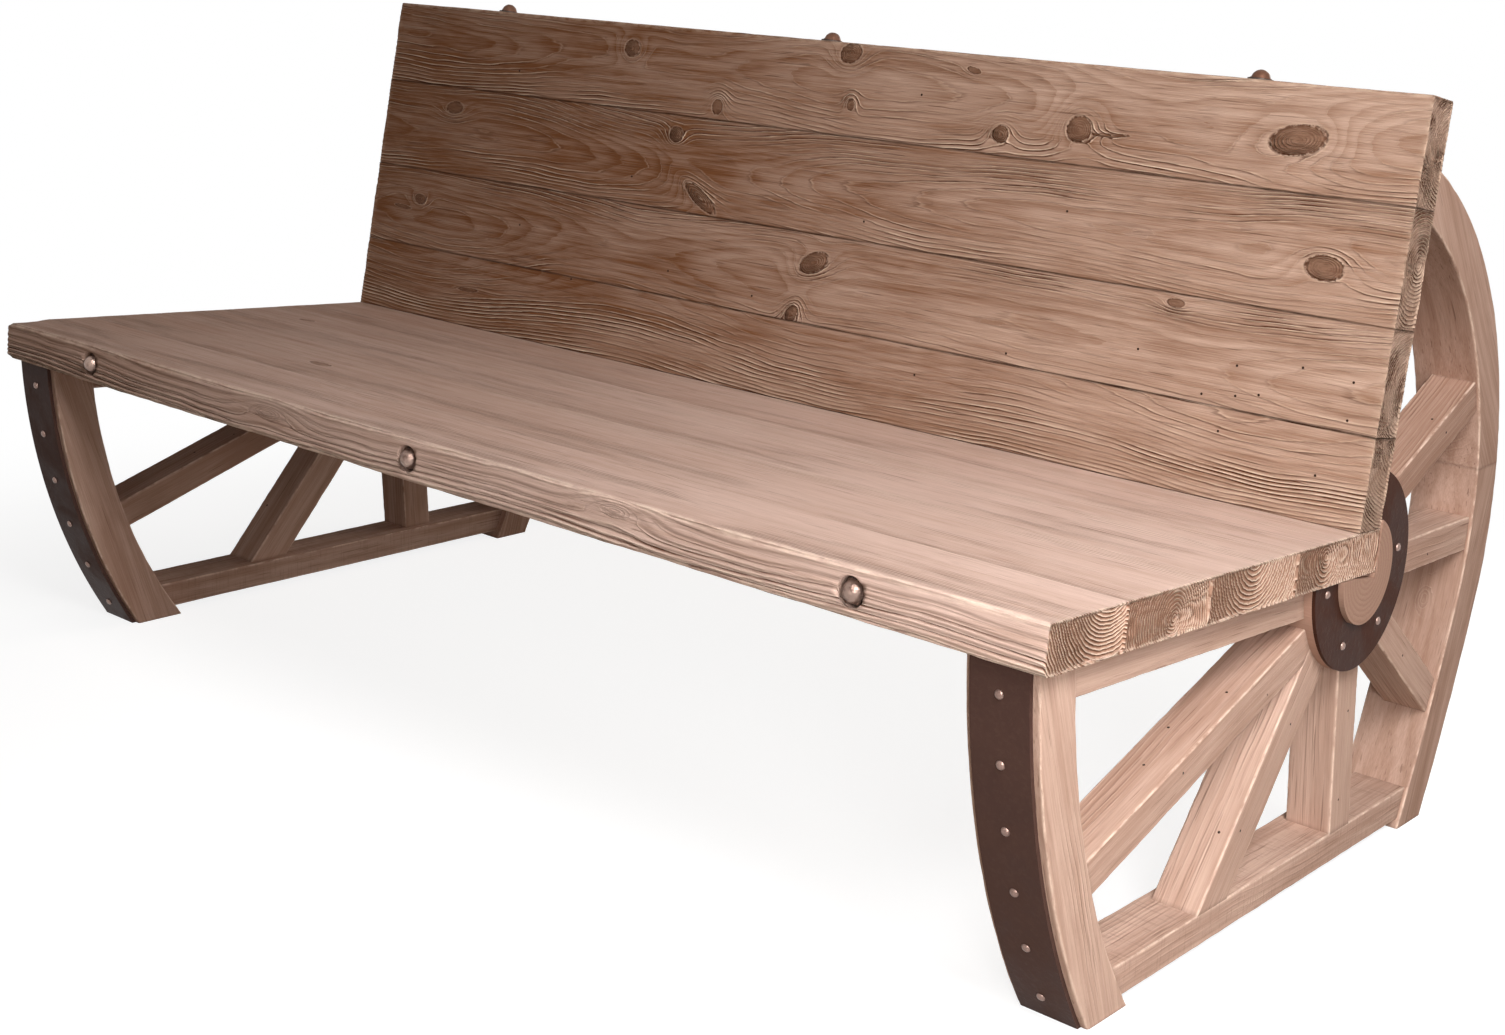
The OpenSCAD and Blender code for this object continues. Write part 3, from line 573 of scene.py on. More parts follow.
def make_brushed_grain():
    """Brushed pine: raised rings with hollows beside them, fibres, knots and wear, with painted
    highlights on the rings' ridges and painted shade in their hollows, creases and recesses.
    """
    group, given, out = new_group(
        "brushed_grain",
        {
            "Rings": 0.0,
            "Pace": 0.1,
            "Knot": 0.0,
            "Worn": 0.0,
            "Grime": 0.0,
            "Tint": 0.0,
            "Bold": 0.0,
            "Grain": "Vector",
            "Pale wood": srgb(205, 170, 148),
            "Dark wood": srgb(150, 110, 85),
            "Knot wood": srgb(84, 54, 40),
            "Worn wood": srgb(226, 196, 172),
            "Crease shade": srgb(54, 34, 24),
            "Ring strength": 0.6,
            "Fibre strength": 0.35,
            "Stain strength": 0.35,
            "Worn strength": 0.6,
            "Saw strength": 0.0,
        },
        {"Colour": "Color", "Roughness": "Float", "Height": "Float"},
    )
    grain, bold, tint = given["Grain"], given["Bold"], given["Tint"]
    dark_wood, knot_and_shade_wood, worn_and_highlight_wood = given["Dark wood"], given["Knot wood"], given["Worn wood"]

    # Distance from a ring's hard line, before and after it
    rings = given["Rings"] + grain.noise((14, 160, 160), 3.0) * 0.5
    part = rings.math("FRACT")
    pace = given["Pace"].math("MAXIMUM", 0.045)
    scale = pace * (0.42 / pace).math("MINIMUM", 1.7)
    after = part / scale
    ridge_line = ((1.0 - part) / scale).smooth(0.1, 1.25, 1.0, 0.0)
    groove = after.smooth(0.0, 0.35) * after.smooth(0.5, 1.6, 1.0, 0.0)

    # Rings differ in strength, fade away and break up
    vary = (rings.math("FLOOR") * 12.9).math("SINE").math("ABSOLUTE") * 0.7 + 0.3
    fade = grain.noise((3.4, 19, 19)).smooth(0.38, 0.56, 0.24, 1.25)
    fade = fade * grain.noise((13, 130, 130), 3.0, 0.6).smooth(0.33, 0.56, 0.4, 1.1)
    fade = fade * pace.smooth(0.05, 0.18, 0.3, 1.0)
    lively = (vary * fade).math("MAXIMUM", bold * 0.85)
    strength = given["Ring strength"].math("MAXIMUM", bold) * lively

    fibre = grain.noise((12, 800, 800), 3.0, 0.6).smooth(0.3, 0.7)
    pores = grain.noise((30, 1500, 1500)).smooth(0.58, 0.76)
    dash = grain.noise((11, 420, 420)).smooth(0.64, 0.72)
    stain = grain.noise((3.6, 13, 13), 4.0, 0.62, 0.5).smooth(0.34, 0.68)
    streak = grain.noise((2.6, 90, 90), 3.0, 0.55).smooth(0.38, 0.66)

    tone = part * part * given["Ring strength"] * 0.27 + fibre * given["Fibre strength"]
    tone = tone + (stain * 0.6 + streak * 0.55) * given["Stain strength"]
    colour = given["Pale wood"].mix(dark_wood, (tone + tint).clamp())
    # A tint over 1 darkens beyond the dark wood, and hides the pale lines
    deep = (tint - 1.0).clamp()
    colour = colour.mix(knot_and_shade_wood, deep)
    # Painted highlight: each ring's ridge is made pale, more so where Bold is set
    colour = colour.mix(worn_and_highlight_wood, (ridge_line * strength * (0.88 - deep)).clamp())
    # Painted shade: the hollow after each ring's ridge is darkened
    colour = colour.mix(knot_and_shade_wood, (groove * strength).clamp())
    colour = colour.mix(knot_and_shade_wood, pores * 0.2).mix(knot_and_shade_wood, dash * 0.5)

    ragged = grain.noise((160, 160, 160), 3.0, 0.6)
    knot = given["Knot"] + (ragged - 0.5) * 0.08
    heart = knot.smooth(0.48, 0.55)
    rim = knot.smooth(0.44, 0.5) * knot.smooth(0.52, 0.6, 1.0, 0.0)
    rim = rim * ragged.smooth(0.38, 0.58, 0.1, 1.0)
    cracks = grain.noise((55, 260, 260)).smooth(0.4, 0.64, 0.0, 0.45)
    inner = (knot * 11.0).math("FRACT").smooth(0.1, 0.9, 0.3, 0.48) + cracks
    colour = colour.mix(worn_and_highlight_wood, knot.smooth(0.36, 0.46) * 0.22)
    colour = colour.mix(dark_wood.mix(knot_and_shade_wood, 0.15), heart * 0.6)
    colour = colour.mix(knot_and_shade_wood, heart * (inner * 0.6)).mix(knot_and_shade_wood, rim * 0.8)

    patchy = grain.noise((45, 110, 110), 3.0, 0.65)
    worn = given["Worn"] * patchy.smooth(0.36, 0.62) * given["Worn strength"]
    colour = colour.mix(worn_and_highlight_wood, worn.clamp())
    # Painted shade in creases, joints, counterbores and where members meet
    grime = given["Grime"] * patchy.smooth(0.2, 0.7, 0.6, 1.0) * 0.9
    colour = colour.mix(given["Crease shade"], grime.clamp())
    saw = grain.noise((330, 14, 14)).smooth(0.5, 0.62) * patchy.smooth(0.35, 0.6)
    saw = saw * given["Saw strength"]
    colour = colour.mix(knot_and_shade_wood, saw * 0.5)

    drop = ridge_line.math("MAXIMUM", after.smooth(0.0, 0.45, 1.0, 0.0))
    height = (drop * 0.8 + part * 0.25) * lively * (bold * 1.3 + 1.0)
    height = height + fibre * 0.2 - pores * 0.25 - dash * 0.3 - rim * 0.7 - saw * 0.6
    close_group(out, Colour=colour, Roughness=fibre * 0.14 + 0.64, Height=height)
    return group


def make_turned_rings():
    """Turned wood seen end on: rings round the bench's length, and its lathe marks."""
    group, given, out = new_group(
        "turned_rings",
        {
            "Place": "Vector",
            "Pale wood": srgb(200, 165, 145),
            "Dark wood": srgb(160, 122, 100),
            "Spacing": 0.006,
        },
        {"Colour": "Color", "Height": "Float"},
    )
    place = given["Place"]
    split = add_node(group, "ShaderNodeSeparateXYZ", {0: place}).outputs
    y, z = Signal(split[1]), Signal(split[2])
    r = (y * y + z * z).math("SQRT") + place.noise((20, 40, 40)) * 0.006
    rings = (r / given["Spacing"]).math("FRACT")
    late = rings.smooth(0.2, 0.8) * rings.smooth(0.88, 1.0, 1.0, 0.0)
    fine = place.noise((60, 500, 500), 3.0, 0.6)
    tone = (late * 0.22 + fine * 0.7).clamp()
    colour = given["Pale wood"].mix(given["Dark wood"], tone)
    close_group(out, Colour=colour, Height=late * 0.5 + fine)
    return group


def make_forged_skin():
    """Mottled dark iron with rubbed high spots."""
    group, given, out = new_group(
        "forged_skin",
        {
            "Place": "Vector",
            "Iron": srgb(70, 50, 42),
            "Rust": srgb(96, 62, 46),
            "Mottle": 1.0,
            "Dullness": 1.0,
        },
        {"Colour": "Color", "Roughness": "Float", "Height": "Float"},
    )
    place = given["Place"]
    broad = place.noise(14.0, 4.0, 0.65, 0.5).smooth(0.35, 0.7)
    speck = place.noise(170.0, 3.0, 0.6).smooth(0.45, 0.72)
    tone = ((broad * 0.6 + speck * 0.35) * given["Mottle"]).clamp()
    close_group(
        out,
        Colour=given["Iron"].mix(given["Rust"], tone),
        Roughness=broad.smooth(0.0, 1.0, 0.42, 0.62) * given["Dullness"],
        Height=place.noise(45.0, 3.0, 0.55) + speck * 0.3,
    )
    return group


brushed_grain = make_brushed_grain()
turned_rings = make_turned_rings()
forged_skin = make_forged_skin()

# Materials

WOOD_SHINE = 0.04
IRON_SHINE = 0.05


def group_material(name, group, looks, lift, shine):
    """A material with a group's colour and relief, its shader and the group's node."""
    material = bpy.data.materials.new(name)
    material.use_nodes = True
    tree = material.node_tree
    shader = tree.nodes["Principled BSDF"]
    skin = add_node(tree, "ShaderNodeGroup", node_tree=group)
    for label, value in looks.items():
        plug(value, skin.inputs[label])
    bump = add_node(tree, "ShaderNodeBump", {"Distance": lift, "Height": skin.outputs["Height"]})
    plug(skin.outputs["Colour"], shader.inputs["Base Color"])
    plug(bump.outputs["Normal"], shader.inputs["Normal"])
    plug(shine, shader.inputs["Specular IOR Level"])
    return material, shader, skin


def wood_material(name, colours, strengths, lift):
    """Brushed wood, its grain read from the piece's own attributes. Its colours are pale,
    dark, knot and worn, its strengths rings, fibres, stain, wear and saw marks."""
    looks = {}
    for label, colour in zip(("Pale", "Dark", "Knot", "Worn"), colours):
        looks[f"{label} wood"] = srgb(*colour)
    for label, value in zip(("Ring", "Fibre", "Stain", "Worn", "Saw"), strengths):
        looks[f"{label} strength"] = value
    material, shader, skin = group_material(name, brushed_grain, looks, lift, WOOD_SHINE)
    plug(skin.outputs["Roughness"], shader.inputs["Roughness"])
    for label in ("Rings", "Pace", "Knot", "Worn", "Grime", "Tint", "Bold", "Grain"):
        read = add_node(
            material.node_tree, "ShaderNodeAttribute", attribute_name=label.lower()
        )
        plug(read.outputs["Vector" if label == "Grain" else "Fac"], skin.inputs[label])
    return material


def turned_material(name, pale, dark):
    """Turned wood, its rings round the hub's axis."""
    looks = {"Pale wood": srgb(*pale), "Dark wood": srgb(*dark)}
    material, shader, skin = group_material(name, turned_rings, looks, 0.0004, WOOD_SHINE)
    place = add_node(material.node_tree, "ShaderNodeTexCoord")
    centre = {"Vector": place.outputs["Object"], "Location": (0, -hub_c[0] * MM, -hub_c[1] * MM)}
    centred = add_node(material.node_tree, "ShaderNodeMapping", centre)
    plug(centred.outputs[0], skin.inputs["Place"])
    plug(0.7, shader.inputs["Roughness"])
    return material


def iron_material(name, iron, rust, mottle, metallic, lift=0.0008, dullness=1.0):
    """Forged iron or bronze. A low dullness rubs it bright."""
    looks = {"Iron": srgb(*iron), "Rust": srgb(*rust), "Mottle": mottle, "Dullness": dullness}
    material, shader, skin = group_material(name, forged_skin, looks, lift, IRON_SHINE)
    place = add_node(material.node_tree, "ShaderNodeTexCoord")
    plug(place.outputs["Object"], skin.inputs["Place"])
    plug(skin.outputs["Roughness"], shader.inputs["Roughness"])
    plug(metallic, shader.inputs["Metallic"])
    return material


SEAT_COLOURS = ((222, 193, 180), (172, 133, 112), (100, 66, 48), (240, 216, 196))
BACK_COLOURS = ((204, 174, 155), (122, 79, 51), (84, 48, 31), (226, 196, 172))
FRAME_COLOURS = ((210, 178, 161), (162, 127, 109), (104, 72, 57), (240, 214, 194))
seat_wood = wood_material("seat_wood", SEAT_COLOURS, (0.35, 0.24, 0.27, 0.8, 0.0), 0.0009)
back_wood = wood_material("back_wood", BACK_COLOURS, (0.95, 0.28, 0.38, 0.55, 0.0), 0.0019)
frame_wood = wood_material("frame_wood", FRAME_COLOURS, (0.16, 0.25, 0.5, 1.0, 0.0), 0.0005)
rail_wood = wood_material("rail_wood", FRAME_COLOURS, (0.1, 0.25, 0.55, 1.0, 0.35), 0.0004)
hub_wood = turned_material("hub_wood", (180, 146, 128), (146, 111, 94))
peg_wood = turned_material("peg_wood", (190, 152, 118), (150, 112, 84))
tyre_iron = iron_material("tyre_iron", (76, 54, 48), (90, 67, 59), 0.7, 0.0, 0.0004)
ring_iron = iron_material("ring_iron", (60, 36, 28), (78, 49, 38), 0.7, 0.0, 0.0004)
stud_iron = iron_material("stud_iron", (160, 134, 124), (100, 76, 68), 0.8, 0.6, 0.0003, 0.6)
bolt_bronze = iron_material("bolt_bronze", (172, 148, 136), (84, 56, 46), 1.2, 0.7, 0.0012, 0.62)
nut_bronze = iron_material("nut_bronze", (100, 68, 54), (136, 102, 84), 0.8, 0.3, 0.0006)
hardware_steel = iron_material("hardware_steel", (92, 82, 76), (70, 54, 46), 0.8, 0.7)
# Painted shade: the dark insides of old nail holes
painted_hole_shade = iron_material("painted_hole_shade", (50, 34, 27), (66, 46, 36), 0.6, 0.0)

# Seat and back planks


def seat_world(p):
    """Seat place (along, depth, height over the underside) to the bench's frame."""
    c, s = math.cos(SEAT_SLOPE), math.sin(SEAT_SLOPE)
    up = p[:, 2] - SEAT_THICK
    return np.column_stack(
        [p[:, 0], front_y + p[:, 1] * c + up * s, SEAT_HEIGHT - p[:, 1] * s + up * c]
    )


def back_world(p):
    """Back place (along, thickness, height up the back) to the bench's frame."""
    c, s = math.cos(BACK_LEAN), math.sin(BACK_LEAN)
    return np.column_stack(
        [p[:, 0], back_foot[0] + p[:, 1] * c + p[:, 2] * s, back_foot[1] - p[:, 1] * s + p[:, 2] * c]
    )


def bore_holes(piece, rods, sides=40):
    """Cuts round holes into a piece: each rod is a start, an end and a radius."""
    points, faces = [], []
    for start, end, radius in rods:
        turn = (Vector(end) - Vector(start)).to_track_quat("Z", "Y").to_matrix()
        first = len(points)
        for place in (start, end):
            for k in range(sides):
                a = 2 * math.pi * k / sides
                rim = turn @ Vector((radius * math.cos(a), radius * math.sin(a), 0))
                points.append(tuple(Vector(place) + rim))
        for k in range(sides):
            n = (k + 1) % sides
            faces.append((first + k, first + n, first + sides + n, first + sides + k))
        faces.append(tuple(first + k for k in reversed(range(sides))))
        faces.append(tuple(first + sides + k for k in range(sides)))
    cutter = mesh_piece("cutter", np.array(points), faces)
    cut = piece.modifiers.new("bore", "BOOLEAN")
    cut.operation = "DIFFERENCE"
    cut.solver = "EXACT"
    cut.object = cutter
    apply_modifiers(piece)
    bpy.data.objects.remove(cutter)


def mesh_points(piece):
    """A piece's points, back in millimetres."""
    flat = np.zeros(len(piece.data.vertices) * 3)
    piece.data.vertices.foreach_get("co", flat)
    return flat.reshape(-1, 3) / MM


# Growth of each seat plank: pith depth and height in the plank, then ring spacing
SEAT_TIMBER = (
    timber(3, (104, 82), 3.8, 12, 2.6, ((-262, 30, 30, 8, 0), (322, 36, 26, 7, 0)), 2, True),
    timber(9, (92, 20), 4.0, 8, 2.2, ((-420, 70, 20, 8, 0),), 1),
    timber(14, (88, 62), 4.8, 10, 2.4, ((-724, 125, 15, 6, 10),), 1),
    timber(21, (70, 34), 4.4, 8, 2.4, ((-80, 60, 18, 7, 0), (560, 150, 14, 5, 0)), 1, True),
)
SEAT_TINT = (0.0, 0.05, 0.0, 0.08)
# Size of the grid's faces along a plank, from front to rear and from low to high
FRONT_PLANK_STEPS, PLANK_STEPS = (8.5, 1.6, 1.3), (10, 2.1, 1.5)
SEAT_END_BOLD = (1.0, 0.9, 1.0, 0.95)
# Rounding of long edges at the front, the rear and the joints, and of all end edges
FRONT_EASE, REAR_EASE, JOINT_EASE, END_EASE = 5.5, 4.0, 0.4, 3.2
FRONT_CORNER_R = 18.0
# Depth of the brushed out grain on the seat's top, its front edge and its ends
TOP_RELIEF, FRONT_RELIEF, SEAT_END_RELIEF = 0.18, 1.7, 1.7
BOLT_LEVEL = SEAT_THICK / 2
CUTTER_PAST = 6.0
# How far pale wear reaches from the seat's front edge and its ends, and painted shade from its
# joints
SEAT_FRONT_WEAR, SEAT_END_WEAR, SEAT_JOINT_SHADE = 8, 6, 0.9


def near_end(end):
    """1 up to 1.8 mm from a plank's end, then less, 0 from 4.8 mm on."""
    return np.clip(1.6 - end / 3, 0, 1)


def seat_plank(index):
    """One seat plank with brushed grain, its front or rear edge worn."""
    wood = SEAT_TIMBER[index]
    start = sum(SEAT_PLANKS[:index])
    wide = SEAT_PLANKS[index]
    is_front, is_rear = index == 0, index == len(SEAT_PLANKS) - 1
    fore = FRONT_EASE if is_front else JOINT_EASE
    aft = REAR_EASE if is_rear else JOINT_EASE
    steps = FRONT_PLANK_STEPS if is_front else PLANK_STEPS
    corner = FRONT_CORNER_R if is_front else 0.0
    size = (SEAT_LENGTH, wide, SEAT_THICK)
    p, n, faces = block(size, steps, (fore, aft, aft, fore), END_EASE, wood["seed"], corner)
    grain = p - (SEAT_LENGTH / 2, 0, 0)
    front = ramp(-n[:, 1], 0.45, 0.9) * is_front
    depth = TOP_RELIEF * ramp(np.abs(n[:, 2]), 0.3, 0.8) + FRONT_RELIEF * front
    moved = relief(grain, n, wood, depth, SEAT_END_RELIEF, wood["seed"])[0]
    moved[:, 1] += start
    piece = mesh_piece(f"seat_plank_{index + 1}_wood", seat_world(moved), faces)
    if is_front or is_rear:
        mouth = -CUTTER_PAST if is_front else seat_deep + CUTTER_PAST
        floor = SINK_DEEP if is_front else seat_deep - SINK_DEEP
        rods = []
        for x in SEAT_BOLTS:
            ends = seat_world(np.array([[x, mouth, BOLT_LEVEL], [x, floor, BOLT_LEVEL]]))
            rods.append((tuple(ends[0]), tuple(ends[1]), SINK_RADIUS))
        bore_holes(piece, rods)
    # The cut has new points, so all that follows is worked out from where they are
    world = mesh_points(piece)
    c, s = math.cos(SEAT_SLOPE), math.sin(SEAT_SLOPE)
    dy, dz = world[:, 1] - front_y, world[:, 2] - SEAT_HEIGHT
    grain = np.column_stack([world[:, 0], dy * c - dz * s - start, dy * s + dz * c + SEAT_THICK])
    count, knot = growth_rings(grain, wood)
    near_front = grain[:, 1] + start
    low = np.minimum(grain[:, 2], SEAT_THICK - grain[:, 2])
    end = SEAT_LENGTH / 2 - np.abs(grain[:, 0])
    worn = beside(np.hypot(near_front, low), SEAT_FRONT_WEAR)
    worn = np.maximum(worn, beside(np.hypot(end, low), SEAT_END_WEAR))
    # Painted shade inside the bolts' counterbores and along the joints between planks
    grime = np.zeros(len(world))
    for x in SEAT_BOLTS:
        away = np.hypot(grain[:, 0] - x, grain[:, 2] - BOLT_LEVEL)
        inside = (away < SINK_RADIUS + 0.6) & (near_front > 2.5) & (near_front < 20)
        grime = np.maximum(grime, inside * 1.0)
    for joint, from_joint in ((not is_front, grain[:, 1]), (not is_rear, wide - grain[:, 1])):
        if joint:
            grime = np.maximum(grime, 0.3 * beside(from_joint, SEAT_JOINT_SHADE))
    normals = np.zeros(len(world) * 3)
    piece.data.vertices.foreach_get("normal", normals)
    end_face = ramp(np.abs(normals[::3]), 0.35, 0.8) * np.clip(2.6 - end / 3, 0, 1)
    # Painted shade: each plank is darker towards the left end, where less light falls
    tint = SEAT_TINT[index] + 0.3 * ramp(-grain[:, 0], -500, 900)
    # The end grain is painted much darker: partly its own darker colour, partly painted shade of its
    # brushed relief
    tint = tint * (1 - end_face) + 1.15 * end_face
    bold = SEAT_END_BOLD[index] * np.maximum(end_face, near_end(end))
    if is_front:
        edge = np.clip(1.6 - near_front / 4, 0, 1) * ramp(-grain[:, 2], -46, -14)
        bold = np.maximum(bold, 0.75 * edge)
    dress(piece, grain + (0, 37.0 * index, 0), count, knot, worn, grime, tint, bold)
    settle(piece, f"seat_plank_{index + 1}", seat_wood)


# Knots and splits seen on the back: place along, height up the back, half sizes, turn
BACK_KNOTS = (
    (-336, 442, 14, 12, 0), (57, 464, 17, 13, 20), (-160, 374, 9, 11, 0), (69, 397, 6, 8, 0),
    (-691, 325, 18, 9, 5), (-228, 329, 12, 11, 0), (-167, 247, 34, 10, -31),
    (-741, 178, 12, 8, 0), (-778, 162, 19, 3, -3), (-605, 55, 22, 3, 3), (48, 186, 24, 13, 25),
    (23, 114, 9, 13, -30), (254, 457, 11, 4, -12), (307, 382, 12, 11, 0), (418, 399, 17, 16, 0),
    (462, 396, 26, 2.5, 4), (701, 414, 34, 17, 10), (757, 278, 23, 14, 0), (584, 213, 12, 5, 0),
)
BACK_PITH = ((62, 74), (48, 62), (74, 50), (66, 112))
BACK_TINT = (0.04, 0.1, 0.0, 0.04)
BACK_STEPS = (6.5, 2.4, 1.9)
# Ring spacing, how far the heart of the tree wanders and how far the rings wave
BACK_GROWTH = (4.1, 34, 3.6)
# Rounding of the back's crest and of its other long edges
CREST_EASE, BACK_EASE = 3.8, 1.4
# Depth of the brushed out grain on the back's faces and its ends
BACK_RELIEF, BACK_END_RELIEF = 0.8, 1.5
# How far pale wear reaches from the back's crest and ends, and painted shade from its seams
BACK_WEAR, SEAM_SHADE = 7, 1.9


def back_plank(index):
    """One back plank, counted from the top, with the knots that show on it."""
    top = back_high - sum(BACK_PLANKS[:index])
    start = top - BACK_PLANKS[index]
    is_top, is_bottom = index == 0, index == len(BACK_PLANKS) - 1
    knots = tuple((k[0], k[1] - start, *k[2:]) for k in BACK_KNOTS if start < k[1] <= top)
    wood = timber(31 + 7 * index, BACK_PITH[index], *BACK_GROWTH, knots)
    size = (SEAT_LENGTH, BACK_THICK, BACK_PLANKS[index])
    crest_ease = CREST_EASE if is_top else BACK_EASE
    eases = (BACK_EASE, BACK_EASE, crest_ease, crest_ease)
    p, n, faces = block(size, BACK_STEPS, eases, END_EASE, wood["seed"])
    grain = p - (SEAT_LENGTH / 2, 0, 0)
    flat = ramp(np.abs(n[:, 1]), 0.3, 0.8)
    if is_top:
        flat = np.maximum(flat, 0.5 * ramp(n[:, 2], 0.3, 0.8))
    depth = BACK_RELIEF * flat
    moved, count, knot = relief(grain, n, wood, depth, BACK_END_RELIEF, wood["seed"])
    moved[:, 2] += start
    if is_bottom:
        lowest = math.tan(BACK_LEAN - SEAT_SLOPE) * moved[:, 1]
        moved[:, 2] = np.maximum(moved[:, 2], lowest)
    piece = mesh_piece(f"back_plank_{index + 1}_wood", back_world(moved), faces)
    low = np.minimum(p[:, 2], size[2] - p[:, 2])
    end = SEAT_LENGTH / 2 - np.abs(grain[:, 0])
    fore = np.minimum(p[:, 1], BACK_THICK - p[:, 1])
    worn = beside(np.hypot(end, fore), BACK_WEAR)
    if is_top:
        crest = size[2] - p[:, 2]
        worn = np.maximum(worn, beside(np.hypot(crest, fore), BACK_WEAR))
        low = p[:, 2]
    patchy = np.clip(1.0 + 0.9 * ripple(grain, (90, 30, 30), wood["seed"] + 40), 0.5, 1.3)
    # Painted shade along the seams between the back planks
    seam = np.clip(beside(low, SEAM_SHADE) * patchy, 0, 1)
    tint = BACK_TINT[index] - 0.1 * beside(end, 3)
    # Painted shade, with some real stain: the back is darker towards its left end, where less light
    # falls
    tint = tint + 0.42 * ramp(-grain[:, 0], -750, 850)
    bold = 0.4 * near_end(end)
    dress(piece, grain + (0, 0, 61.0 * index), count, knot, worn, seam, tint, bold)
    settle(piece, f"back_plank_{index + 1}", back_wood)


for number in range(4):
    seat_plank(number)
    back_plank(number)

# End frames: bars and felloes, built on the right and mirrored to the left


# Members painted darker than the rest: painted shade where the seat, the back or nearer members keep
# the light off them
FRAME_PAINTED_SHADE = {
    "front_low_spoke": 0.25,
    "upright_spoke": 0.1,
    "rear_low_spoke": 0.15,
    "rear_high_spoke": 0.5,
}
# Painted shade: the rear felloes are darker, as less light reaches the bench's rear
REAR_FELLOE_PAINTED_SHADE = 0.3
# The left frame is painted darker than the right one, painted shade as it stands under the seat away
# from the light, and its grain differs
LEFT_PAINTED_SHADE = 0.25
LEFT_SEED = 50
# Rounding of long edges, how wide the pale wear on them is, and brushed out depth
BAR_EASE, FELLOE_EASE = 2.0, 2.2
EDGE_WEAR = 2.6
# How far painted shade reaches from the ends of bars and felloes, where they meet other parts
BAR_END_SHADE, FELLOE_END_SHADE = 5.0, 3.0
FRAME_RELIEF = 0.25
BAR_STEPS, FELLOE_STEPS = (14.0, 2.4, 2.6), (6.5, 2.8, 2.6)
BAR_GROWTH, FELLOE_GROWTH = (5.4, 18, 4.5), (5.4, 22, 5.0)
# How far a bar goes into what it meets
BAR_BITE = 1.0
# A bar's grid is made at this length and then stretched between what it meets
GRID_LENGTH = 1000.0
# Distance between the grains of two members whose seeds are one apart
GRAIN_STEP = 13.0
# Share of the lower rear felloe that is its straighter leg
LEG_SHARE = 0.6

RIMS = {
    "front": (front_c, FRONT_ARC_R),
    "leg": (leg_c, REAR_LEG_R),
    "arc": (rear_c, REAR_ARC_R),
}


def to_felloe(start, direction, rim):
    """Distance along a ray from inside the wheel to a felloe's inner face."""
    centre, radius = RIMS[rim]
    return to_circle(start, direction, centre, radius - FELLOE_DEEP)


def frame_piece(node, side, material, world, faces, p, size, grain, seed, *wood):
    """Makes a member on its side of the bench. wood is rings, knots, painted shade at its ends and
    tint.
    """
    count, knot, grime, tint = wood
    label = "right" if side > 0 else "left"
    piece = mesh_piece(f"{label}_{node}_wood", world, faces, side < 0)
    near = [np.minimum(p[:, axis], size[axis] - p[:, axis]) for axis in (1, 2)]
    worn = beside(np.hypot(near[0], near[1]), EDGE_WEAR)
    # Painted shade on the left frame
    tint = tint + LEFT_PAINTED_SHADE * (side < 0)
    dress(piece, grain + (0, GRAIN_STEP * seed, 0), count, knot, worn, grime, tint)
    settle(piece, f"{label}_{node}", material)


def frame_bar(node, side, origin, turn, offsets, reach, thick, seed, material):
    """A straight bar: each end follows what it meets, given for every offset across it."""
    seed = seed + LEFT_SEED * (side < 0)
    wide = offsets[1] - offsets[0]
    size = (GRID_LENGTH, wide, thick[1] - thick[0])
    p, n, faces = block(size, BAR_STEPS, (BAR_EASE,) * 4, 0, seed)
    share = p[:, 0] / GRID_LENGTH
    a = np.round(offsets[0] + p[:, 1], 2)
    met = {value: reach(float(value)) for value in np.unique(a)}
    ends = np.array([met[value] for value in a])
    along = ends[:, 0] + share * (ends[:, 1] - ends[:, 0])
    local = np.column_stack([along, p[:, 1], p[:, 2]])
    wood = timber(seed, (wide * 0.5 + 26, size[2] * 0.5 - 60), *BAR_GROWTH)
    moved, count, knot = relief(local, n, wood, FRAME_RELIEF, 0.1, seed)
    forward, sideways = heading(turn), across(turn)
    offset = offsets[0] + moved[:, 1]
    y = origin[0] + moved[:, 0] * forward[0] + offset * sideways[0]
    z = origin[1] + moved[:, 0] * forward[1] + offset * sideways[1]
    world = np.column_stack([thick[1] - moved[:, 2], y, z])
    # Thickness runs inwards here, which turns the grid over, so its faces are turned back
    faces = faces[:, ::-1]
    tip = np.minimum(share, 1 - share) * np.abs(ends[:, 1] - ends[:, 0])
    # Painted shade at the bar's ends, where it meets other members
    grime = 0.45 * beside(tip, BAR_END_SHADE)
    # A random tone for each member, plus its painted shade
    tint = 0.12 * ripple(np.full((1, 3), 0.5), (1, 1, 1), seed)[0] + FRAME_PAINTED_SHADE.get(node, 0.0)
    wood_data = (count, knot, grime, tint)
    frame_piece(node, side, material, world, faces, p, size, local, seed, *wood_data)


def spoke_reach(turn, meets, crossed=False):
    """Start and end of a spoke along its line, for an offset from the hub's centre. A
    crossed one starts at the edge of the steep front spoke."""
    forward, sideways = heading(turn), across(turn)
    steep = next(s for s in SPOKES if s[0] == "front_steep_spoke")
    steep_side = across(math.radians(steep[1]))

    def reach(offset):
        start = hub_c + offset * sideways
        first = math.sqrt(HUB_RADIUS**2 - offset**2) - BAR_BITE
        if crossed:
            edge = steep[2] - steep[3] / 2
            rate = float(forward @ steep_side)
            first = max(first, (edge - offset * float(sideways @ steep_side)) / rate)
        if meets == "rail":
            return first, (rail_top - start[1]) / forward[1] + BAR_BITE
        return first, to_felloe(start, forward, meets) + BAR_BITE

    return reach


def bottom_rail_reach(offset):
    """Start and end of the bottom rail, from below the hub, at a height over its underside."""
    start = np.array([hub_c[0], BOTTOM_RAIL_GAP + offset])
    ahead = to_felloe(start, np.array([-1.0, 0.0]), "front")
    return -ahead - BAR_BITE, to_felloe(start, np.array([1.0, 0.0]), "leg") + BAR_BITE


